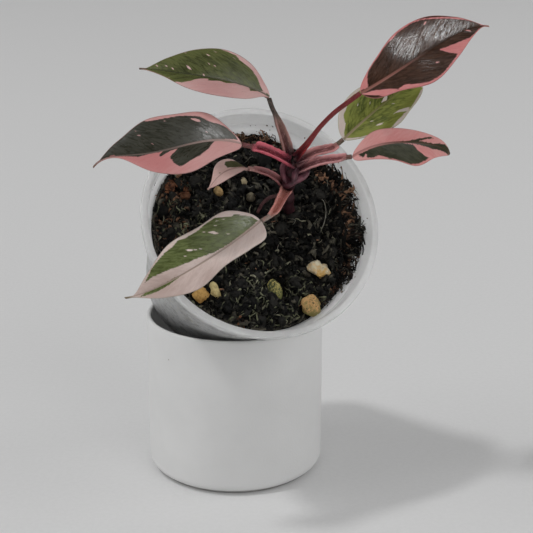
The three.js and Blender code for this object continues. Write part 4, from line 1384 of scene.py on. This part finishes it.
def inside_by(x, y, outline):
    """Distance from each point to a closed outline, in mm, positive for the points within it."""
    p = np.stack([x.ravel(), y.ravel()], 1)[:, None]
    a, b = outline[None], np.roll(outline, -1, 0)[None]
    run = b - a
    share = np.clip(((p - a) * run).sum(-1) / (run**2).sum(-1), 0, 1)[..., None]
    gap = np.linalg.norm(p - a - share * run, axis=-1).min(1)
    straddles = (a[..., 1] > p[..., 1]) != (b[..., 1] > p[..., 1])
    rise = np.where(run[..., 1] == 0, 1e-9, run[..., 1])
    crossing = a[..., 0] + (p[..., 1] - a[..., 1]) / rise * run[..., 0]
    within = (straddles & (p[..., 0] < crossing)).sum(1) % 2 == 1
    return np.where(within, gap, -gap).reshape(x.shape)


def patch(leaf, x, y, outlines):
    """How far inside the nearest of several outlines, which are given as (turn / pi, side) pairs."""
    depth = np.full(x.shape, FAR_OUT)
    for outline in outlines:
        turn, side = np.array(outline, float).T
        along, across, _ = flat_place(leaf, turn * np.pi, side)
        depth = np.maximum(depth, inside_by(x, y, np.stack([along, across], 1)))
    return depth


def dabs(leaf, x, y, spots, size=0.22):
    """Small marks drawn out along the veins: size less the distance, which counts 0.3 along a vein."""
    depth = np.full(x.shape, FAR_OUT)
    for turn, side, *own in spots:
        along, across, _ = flat_place(leaf, np.array(turn * np.pi), np.array(side))
        forward = leaf.get("lean", 0.9) + 0.09 * abs(across)
        vein = unit(np.array([forward, np.sign(across)]))
        dx, dy = x - along, y - across
        apart = np.hypot(dx * vein[1] - dy * vein[0], 0.30 * (dx * vein[0] + dy * vein[1]))
        depth = np.maximum(depth, (own[0] if own else size) - apart)
    return depth


def blade(leaf, rows, columns):
    """Upper and lower sheets of points, offset along the normal, with a groove, veins and a midrib."""
    turn = np.linspace(0, np.pi, rows)[:, None]
    u = np.linspace(1, -1, columns)
    side = np.sign(u) * np.abs(u) ** 1.35
    grid = blade_points(leaf, turn, side)
    ahead, aside = np.gradient(grid, axis=0), np.gradient(grid, axis=1)
    normal = unit(np.cross(ahead, aside))
    if normal[rows // 2, columns // 2, 2] < 0:
        normal = -normal
    x, y, width = flat_place(leaf, turn, side)
    x = x + 0 * y
    number = vein_number(leaf, x, y)
    along = x / x.max()
    half = 0.26 * np.sqrt(1 - np.abs(side) ** 8 * 0.999) + 0 * turn
    fade = np.sin(turn) ** 0.5
    groove = np.exp(-((y / 0.55) ** 2)) * fade
    edge = width - np.abs(y)
    veins = (0.5 + 0.5 * np.cos(2 * np.pi * number / 4.6)) ** 5 * eased(edge, 0.3, 4) * (1 - groove)
    puckers = 0.10 * lumpy(np.stack([number / 6, y / 14, x * 0 + 3], -1), 1.0) * eased(np.abs(y), 0.5, 3)
    rib = np.exp(-((y / mixed(1.1, 0.5, along)) ** 2)) * mixed(0.9, 0.2, along)
    rise = half - 0.14 * groove - 0.02 * veins + puckers * (1 - np.abs(side) ** 6)
    upper = grid + normal * rise[..., None]
    lower = grid - normal * (half + rib * (1 - np.abs(side)) + 0.05 * veins)[..., None]
    values = {"x": x, "y": y, "number": number, "edge": edge, "veins": veins, "along": along}
    values["rib"] = np.abs(y) / mixed(1.0, 0.3, along)
    ring = np.concatenate([upper, lower[:, -2:0:-1]], 1)
    both = {k: np.concatenate([v, v[:, -2:0:-1]], 1) for k, v in values.items()}
    both["topside"] = np.concatenate([np.ones_like(x), np.zeros_like(x[:, 1:-1])], 1)
    return ring, both


# %% [markdown]
# Each leaf has its own pattern. Leaves 1, 2 and 5 are dark with pink outlines drawn on them. On the
# others the green parts are drawn instead. Marks are small pale outlines and dabs small pale spots,
# given as turn / pi, side and size. Flush and shade, and sheen, are bells, given as turn / pi, side,
# radius and weight: flush and shade deepens the pink, as the leaf's own deeper pink and on leaf 4
# also as painted shade towards the tip. The midrib has a tone at the blade's base and one further
# out. Gloss holds the shine without and with sheen, the roughness of sleek and dull parts and the
# height of the wrinkles in metres.

# %% Patterns and tones of the leaves
PATTERNS = {
    "1": {
        "pink": [
            [(0.02, 0.9), (0.1, 0.41), (0.11, -0.26), (0.16, -0.13), (0.26, 0.37), (0.27, -0.02),
             (0.32, 0.08), (0.35, 0.06), (0.4, 0.21), (0.43, 0.15), (0.49, 0.32), (0.49, 0.16),
             (0.53, 0.29), (0.57, 0.57), (0.61, 0.84), (0.64, 0.95), (0.66, 1.4), (0.3, 1.6),
             (0.02, 1.4)],
            [(0.03, -0.9), (0.11, -0.26), (0.16, -0.23), (0.19, -0.42), (0.21, -0.57), (0.25, -0.7),
             (0.28, -0.76), (0.35, -0.8), (0.37, -0.91), (0.41, -0.93), (0.45, -0.98), (0.5, -1.4),
             (0.2, -1.6), (0.03, -1.3)],
        ],
        "dabs": [(0.62, -0.91), (0.51, -0.72, 0.3), (0.48, -0.86), (0.77, -0.47), (0.71, -0.34),
                 (0.67, -0.16), (0.59, -0.24, 0.45), (0.47, -0.37), (0.5, -0.42), (0.68, 0.88),
                 (0.38, -0.76), (0.51, -0.03, 0.3)],
        "flush_and_shade": [(0.45, 0.6, 14, 0.8), (0.2, -0.8, 10, 0.5)],
        "green_deep": (0.048, 0.054, 0.020),
        "green_light": (0.132, 0.147, 0.048),
        "pink_deep": (0.590, 0.320, 0.308),
        "pink_light": (0.750, 0.500, 0.478),
        "margin": (0.420, 0.252, 0.221),
        "midrib": [(0.100, 0.085, 0.055), (0.055, 0.058, 0.028)],
        "edge_light": 0.25,
        "motes": 0.5,
        "gloss": (0.15, 0.55, 0.24, 0.42, 0.00015),
        "tail": (0.16, 0.11, 0.09),
        "sheen": [(0.2, -0.15, 5, 0.15)],
    },
    "2": {
        "pink": [
            [(0.0, -0.6), (0.08, -0.49), (0.21, -0.05), (0.28, 0.08), (0.32, 0.42), (0.34, 0.49),
             (0.37, 0.58), (0.41, 0.62), (0.45, 0.73), (0.47, 0.75), (0.49, 0.6), (0.5, 0.39),
             (0.49, 0.26), (0.46, 0.08), (0.49, 0.1), (0.51, 0.16), (0.53, 0.26), (0.54, 0.26),
             (0.54, 0.16), (0.52, 0.0), (0.54, 0.05), (0.59, 0.06), (0.63, 0.24), (0.68, 0.24),
             (0.73, 0.39), (0.75, -0.11), (0.85, 1.4), (0.5, 1.6), (0.2, 1.6), (0.0, 1.3)],
            [(0.03, -0.3), (0.07, -0.28), (0.1, -0.84), (0.14, -0.88), (0.2, -0.83), (0.23, -0.73),
             (0.26, -0.67), (0.29, -0.69), (0.33, -0.82), (0.37, -0.86), (0.42, -0.92), (0.48, -0.91),
             (0.57, -0.95), (0.62, -1.4), (0.3, -1.6), (0.05, -1.4)],
        ],
        "marks": [[(0.38, -0.77), (0.36, -0.76), (0.335, -0.70), (0.33, -0.63), (0.345, -0.63),
                   (0.365, -0.70)]],
        "dabs": [(0.61, -0.62), (0.56, -0.24, 0.15), (0.31, -0.28, 0.15), (0.49, -0.81, 0.15),
                 (0.62, -0.8, 0.15)],
        "flush_and_shade": [(0.62, 0.7, 18, 1.0), (0.8, 0.9, 12, 0.5)],
        "green_deep": (0.031, 0.031, 0.021),
        "green_light": (0.068, 0.067, 0.052),
        "pink_deep": (0.580, 0.232, 0.226),
        "pink_light": (0.700, 0.403, 0.382),
        "margin": (0.529, 0.310, 0.287),
        "midrib": [(0.420, 0.290, 0.260), (0.200, 0.150, 0.130)],
        "edge_light": 0.0,
        "motes": 0.35,
        "gloss": (0.16, 0.65, 0.24, 0.38, 0.00018),
        "tail": (0.21, 0.13, 0.1),
        "sheen": [(0.3, -0.3, 5, 1.0), (0.25, -0.2, 9, 0.4)],
    },
    "3": {
        "green": [
            [(0.45, -0.52), (0.41, -0.73), (0.34, -0.75), (0.23, -1.2), (0.06, -0.78), (0.31, -0.05),
             (0.43, -0.16)],
            [(0.67, -0.44), (0.64, -0.42), (0.54, -0.12), (0.56, -0.2), (0.62, -0.36)],
        ],
        "dabs": [],
        "flush_and_shade": [(0.7, 0.0, 8, 0.4)],
        "green_deep": (0.065, 0.068, 0.028),
        "green_light": (0.115, 0.120, 0.055),
        "pink_deep": (0.583, 0.360, 0.329),
        "pink_light": (0.763, 0.551, 0.503),
        "margin": (0.510, 0.330, 0.300),
        "midrib": [(0.450, 0.285, 0.255), (0.450, 0.285, 0.255)],
        "edge_light": 0.0,
        "motes": 0.0,
        "gloss": (0.2, 0.2, 0.35, 0.45, 0.0001),
        "tail": (0.4, 0.28, 0.24),
        "sheen": [],
    },
    "4": {
        "green": [
            [(0.08, -0.2), (0.12, -0.7), (0.17, -0.73), (0.21, -0.78), (0.24, -0.81), (0.26, -0.73),
             (0.31, -0.84), (0.34, -0.94), (0.39, -0.96), (0.45, -0.89), (0.5, -0.89), (0.53, -0.93),
             (0.56, -0.86), (0.6, -0.89), (0.66, -0.94), (0.69, -0.96), (0.76, -0.73), (0.71, -0.62),
             (0.67, -0.47), (0.62, -0.34), (0.58, -0.26), (0.54, -0.2), (0.49, -0.16), (0.43, -0.06),
             (0.35, -0.02), (0.2, -0.03)],
            [(0.55, 0.0), (0.62, -0.05), (0.72, -0.05), (0.78, -0.08), (0.83, 1.1), (0.77, 0.49),
             (0.71, 0.34), (0.66, 0.2), (0.62, 0.1), (0.58, 0.03)],
        ],
        "dabs": [(0.31, -0.75), (0.34, -0.8), (0.36, -0.72), (0.42, -0.75), (0.39, -0.6, 0.5),
                 (0.38, -0.52, 0.4), (0.33, -0.28), (0.47, -0.36), (0.51, -0.49, 0.45), (0.49, -0.42),
                 (0.54, -0.41)],
        # The first bell here is painted shade: it deepens the pink towards the tip, which turns away from
        # the light.
        "flush_and_shade": [(0.72, 0.6, 15, 0.9), (0.5, 0.95, 8, 0.5)],
        "green_deep": (0.074, 0.091, 0.027),
        "green_light": (0.174, 0.213, 0.074),
        "pink_deep": (0.510, 0.385, 0.345),
        "pink_light": (0.800, 0.675, 0.625),
        "margin": (0.465, 0.405, 0.345),
        "midrib": [(0.500, 0.380, 0.330), (0.400, 0.310, 0.260)],
        "edge_light": 0.0,
        "motes": 0.3,
        "gloss": (0.14, 0.8, 0.24, 0.4, 0.00012),
        "tail": (0.2, 0.16, 0.1),
        "sheen": [(0.18, -0.65, 4.5, 0.9), (0.27, -0.5, 6, 0.2)],
    },
    "5": {
        "pink": [
            [(0.02, 0.6), (0.06, 0.67), (0.14, 0.18), (0.18, 0.76), (0.21, 0.97), (0.26, 0.98),
             (0.3, 0.94), (0.33, 0.97), (0.37, 0.96), (0.4, 0.93), (0.44, 0.96), (0.51, 0.97),
             (0.56, 0.95), (0.64, 0.9), (0.74, 0.93), (0.78, 0.88), (0.85, 0.9), (0.85, 1.4),
             (0.4, 1.5), (0.1, 1.6), (0.0, 1.3)],
            [(0.02, -0.7), (0.13, -0.28), (0.18, -0.37), (0.25, -0.7), (0.28, -0.9), (0.3, -0.81),
             (0.32, -0.75), (0.37, -0.89), (0.41, -0.93), (0.46, -0.95), (0.5, -0.95), (0.55, -0.93),
             (0.59, -0.89), (0.6, -1.4), (0.3, -1.6), (0.0, -1.3)],
            [(0.59, -0.89), (0.56, -0.57), (0.55, -0.39), (0.54, -0.24), (0.57, -0.32), (0.62, -0.5),
             (0.7, -0.88), (0.75, -0.96), (0.82, -0.98), (0.8, -1.4), (0.6, -1.4)],
            [(0.84, 0.2), (0.86, 1.3), (1.05, 1.3), (1.05, -0.3), (0.93, -0.1)],
        ],
        "dabs": [(0.73, -0.26, 0.4), (0.49, -0.54, 0.3), (0.56, 0.78, 0.4)],
        "flush_and_shade": [(0.5, 0.9, 60, 0.7)],
        "green_deep": (0.034, 0.017, 0.011),
        "green_light": (0.085, 0.042, 0.027),
        "pink_deep": (0.643, 0.207, 0.207),
        "pink_light": (0.778, 0.367, 0.346),
        "margin": (0.616, 0.243, 0.234),
        "midrib": [(0.340, 0.150, 0.120), (0.045, 0.026, 0.018)],
        "edge_light": 0.0,
        "motes": 0.25,
        "gloss": (0.07, 1.0, 0.15, 0.22, 0.0003),
        "tail": (0.42, 0.22, 0.19),
        "sheen": [(0.4, 0.65, 5, 1.0), (0.42, 0.35, 5, 1.0), (0.47, 0.45, 5, 0.7), (0.54, 0.4, 5, 0.7),
                  (0.61, 0.35, 5.5, 1.0), (0.67, 0.7, 4.5, 0.7), (0.69, 0.3, 5, 1.0),
                  (0.77, 0.4, 4, 0.8), (0.46, -0.3, 5, 0.55)],
    },
    "6": {
        "green": [
            [(0.08, 0.05), (0.13, 0.37), (0.22, 0.52), (0.26, 0.78), (0.31, 0.80), (0.4, 0.93),
             (0.6, 0.95), (0.8, 0.93), (1.02, 0.6), (1.02, -0.6), (0.8, -0.95), (0.6, -0.96),
             (0.4, -0.96), (0.2, -0.93), (0.12, -0.5)],
        ],
        "marks": [[(0.56, 0.28), (0.58, 0.2), (0.54, 0.04), (0.50, 0.08), (0.54, 0.16)],
                  [(0.47, -0.58), (0.50, -0.66), (0.55, -0.95), (0.58, -0.9), (0.52, -0.64)]],
        "dabs": [(0.37, -0.6, 0.5), (0.36, -0.28), (0.54, -0.28), (0.45, 0.31), (0.39, 0.54)],
        "flush_and_shade": [],
        "green_deep": (0.070, 0.090, 0.018),
        "green_light": (0.262, 0.290, 0.064),
        "pink_deep": (0.540, 0.435, 0.400),
        "pink_light": (0.690, 0.600, 0.540),
        "margin": (0.400, 0.420, 0.200),
        "midrib": [(0.340, 0.270, 0.170), (0.200, 0.190, 0.070)],
        "edge_light": 0.55,
        "motes": 0.4,
        "gloss": (0.12, 0.15, 0.4, 0.55, 0.00015),
        "tail": (0.25, 0.24, 0.12),
        "sheen": [],
    },
    "7": {
        "green": [
            [(0.12, -0.08), (0.2, -0.15), (0.27, -0.06), (0.33, -0.02), (0.38, 0.02), (0.45, 0.0),
             (0.51, -0.03), (0.56, -0.08), (0.59, -0.32), (0.64, -0.65), (0.67, -0.83), (0.65, -0.88),
             (0.58, -0.93), (0.53, -0.97), (0.46, -0.98), (0.4, -0.93), (0.37, -0.84), (0.32, -0.76),
             (0.29, -0.89), (0.24, -0.81), (0.23, -0.46), (0.2, -0.75)],
            [(0.45, 0.05), (0.53, 0.14), (0.57, 0.26), (0.61, 0.46), (0.7, 0.78), (0.73, 0.74),
             (0.64, 0.34), (0.61, 0.16), (0.71, 0.18), (0.85, 0.8), (0.95, 1.3), (0.9, -0.9),
             (0.7, -0.34), (0.6, -0.1), (0.51, -0.04)],
        ],
        "dabs": [],
        "flush_and_shade": [(0.5, -0.7, 16, 0.7)],
        "green_deep": (0.037, 0.039, 0.022),
        "green_light": (0.070, 0.071, 0.042),
        "pink_deep": (0.701, 0.247, 0.241),
        "pink_light": (0.814, 0.440, 0.413),
        "margin": (0.648, 0.308, 0.292),
        "midrib": [(0.480, 0.220, 0.200), (0.100, 0.060, 0.035)],
        "edge_light": 0.0,
        "motes": 0.3,
        "gloss": (0.14, 0.5, 0.3, 0.45, 0.00012),
        "tail": (0.1, 0.08, 0.05),
        "sheen": [(0.35, -0.5, 6, 0.5)],
    },
}


# %% The finish of a leaf
def leaf_finish(name, tones):
    """Two-tone green and two-tone pink, parted along the drawn outlines and torn along the veins.

    The one leaf whose shine is full is waxier, so it also bends light more."""
    low, high, sharp, dull, wrinkle = tones["gloss"]
    made = Finish(
        name,
        Subsurface_Weight=0.08,
        Subsurface_Radius=(1.0, 0.5, 0.35),
        Subsurface_Scale=0.0006,
        IOR=1.7 if high >= 1 else 1.5,
    )
    y = made.stored("y")
    reach = made.sum("ABSOLUTE", y)
    shift = made.sum("MULTIPLY", made.sum("GREATER_THAN", y, 0.0), 37.0)
    number = made.sum("ADD", made.stored("number"), shift)
    place = made.step("CombineXYZ", {0: number, 1: made.sum("MULTIPLY", reach, 0.22)})
    flat = made.step("CombineXYZ", {0: number, 1: reach})
    cloud = made.noise(flat, 0.16, 5.0, 0.6)
    mottle = made.noise(flat, 0.55, 4.0, 0.65, 0.6)
    streak = made.noise(place, 0.9, 4.0, 0.65, 0.5)
    fine = made.noise(place, 3.2, 3.0, 0.6)
    tear = made.sum("MULTIPLY_ADD", streak, 1.8, -1.2)
    tear = made.sum("MULTIPLY_ADD", fine, 0.9, tear)
    pinkness = made.span(made.sum("ADD", made.stored("pink"), tear), -0.20, 0.20)
    marginal = made.span(made.stored("edge"), 0.0, 8.0, 1.0, 0.0)
    lit = made.sum("MULTIPLY_ADD", marginal, tones["edge_light"], cloud)
    lit = made.sum("MULTIPLY_ADD", mottle, 1.1, lit)
    green = made.blend(made.span(lit, 0.80, 1.3), tones["green_deep"], tones["green_light"])
    green = made.blend(made.span(streak, 0.40, 0.75, 0.0, 0.4), green, tones["green_deep"])
    green = made.blend(made.sum("MULTIPLY", made.stored("veins"), 0.12), green, tones["green_light"])
    clouded = made.span(made.sum("ADD", cloud, mottle), 0.7, 1.3, 0.0, 0.4)
    # Deeper pink from the stored bells and the cloud; on leaf 4 one bell is painted shade.
    flush_and_shade = made.sum("ADD", made.stored("flush_and_shade"), clouded)
    pink = made.blend(flush_and_shade, tones["pink_light"], tones["pink_deep"])
    pink = made.blend(made.span(streak, 0.5, 0.8, 0.0, 0.35), pink, tones["pink_deep"])
    colour = made.blend(pinkness, green, pink)
    dab = made.span(made.sum("MULTIPLY_ADD", fine, 0.9, made.stored("dabs")), 0.35, 0.50)
    colour = made.blend(dab, colour, tones["pink_light"])
    mote = made.span(made.noise(flat, 1.6, 2.0, 0.5), 0.72, 0.77, 0.0, tones["motes"])
    colour = made.blend(mote, colour, (0.45, 0.42, 0.36))
    midrib = made.blend(made.span(made.stored("along"), 0.15, 0.55), *tones["midrib"])
    colour = made.blend(made.span(made.stored("rib"), 0.5, 1.1, 0.9, 0.0), colour, midrib)
    colour = made.blend(made.span(made.stored("edge"), 0.1, 0.5, 0.8, 0.0), colour, tones["margin"])
    colour = made.blend(made.span(made.stored("along"), 0.955, 0.99), colour, tones["tail"])
    below = made.blend(0.35, colour, (0.16, 0.09, 0.075))
    colour = made.blend(made.stored("topside"), below, colour)
    wet = made.sum("MULTIPLY", made.stored("sheen"), made.span(made.sum("ADD", streak, fine), 0.85, 1.10))
    made.tree.links.new(made.span(wet, 0.0, 0.9, low, high), made.shader.inputs["Specular IOR Level"])
    height = made.sum("MULTIPLY_ADD", fine, 0.35, streak)
    return made.done(colour, made.span(mottle, 0.3, 0.7, sharp, dull), made.bump(height, wrinkle, 0.8))


def bells(leaf, x, y, spots):
    """The sum of weight · exp(-(distance / radius)²) over the spots, for the deeper pink with its painted
    shade, and for sheen.
    """
    total = np.zeros(x.shape)
    for turn, side, radius, weight in spots:
        along, across, _ = flat_place(leaf, np.array(turn * np.pi), np.array(side))
        total = total + weight * np.exp(-((x - along) ** 2 + (y - across) ** 2) / radius**2)
    return total


SMALLEST = "3"
for key, leaf in LEAVES.items():
    look = PATTERNS[key]
    rows, columns = (110, 49) if key == SMALLEST else (180, 71)
    ring, values = blade(leaf, rows, columns)
    x, y = values.pop("x"), values["y"]
    if "pink" in look:
        values["pink"] = patch(leaf, x, y, look["pink"])
    else:
        values["pink"] = -patch(leaf, x, y, look["green"])
    values["dabs"] = np.maximum(dabs(leaf, x, y, look["dabs"]), patch(leaf, x, y, look.get("marks", [])))
    for kind in ("flush_and_shade", "sheen"):
        values[kind] = bells(leaf, x, y, look[kind])
    values = {k: np.append(v.ravel(), [v[0, 0], v[-1, 0]]) for k, v in values.items()}
    points, faces = tube(ring)
    skin = leaf_finish(f"leaf_skin_{key}", look)
    piece(f"leaf_blade_{key}", in_place(points), faces, skin, f"leaf_{key}", [f"blade_{key}"], **values)

# %% [markdown]
# The last step measures the model after dressing and prints its size, keeping the sizes before and after
# side by side.

# %% Sizes and the end
dressed_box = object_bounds()
sizes = {"cad": [list(c) for c in cad_box], "dressed": [list(c) for c in dressed_box]}
print("size, mm:", [round((b - a) * 1000, 1) for a, b in zip(*dressed_box)])
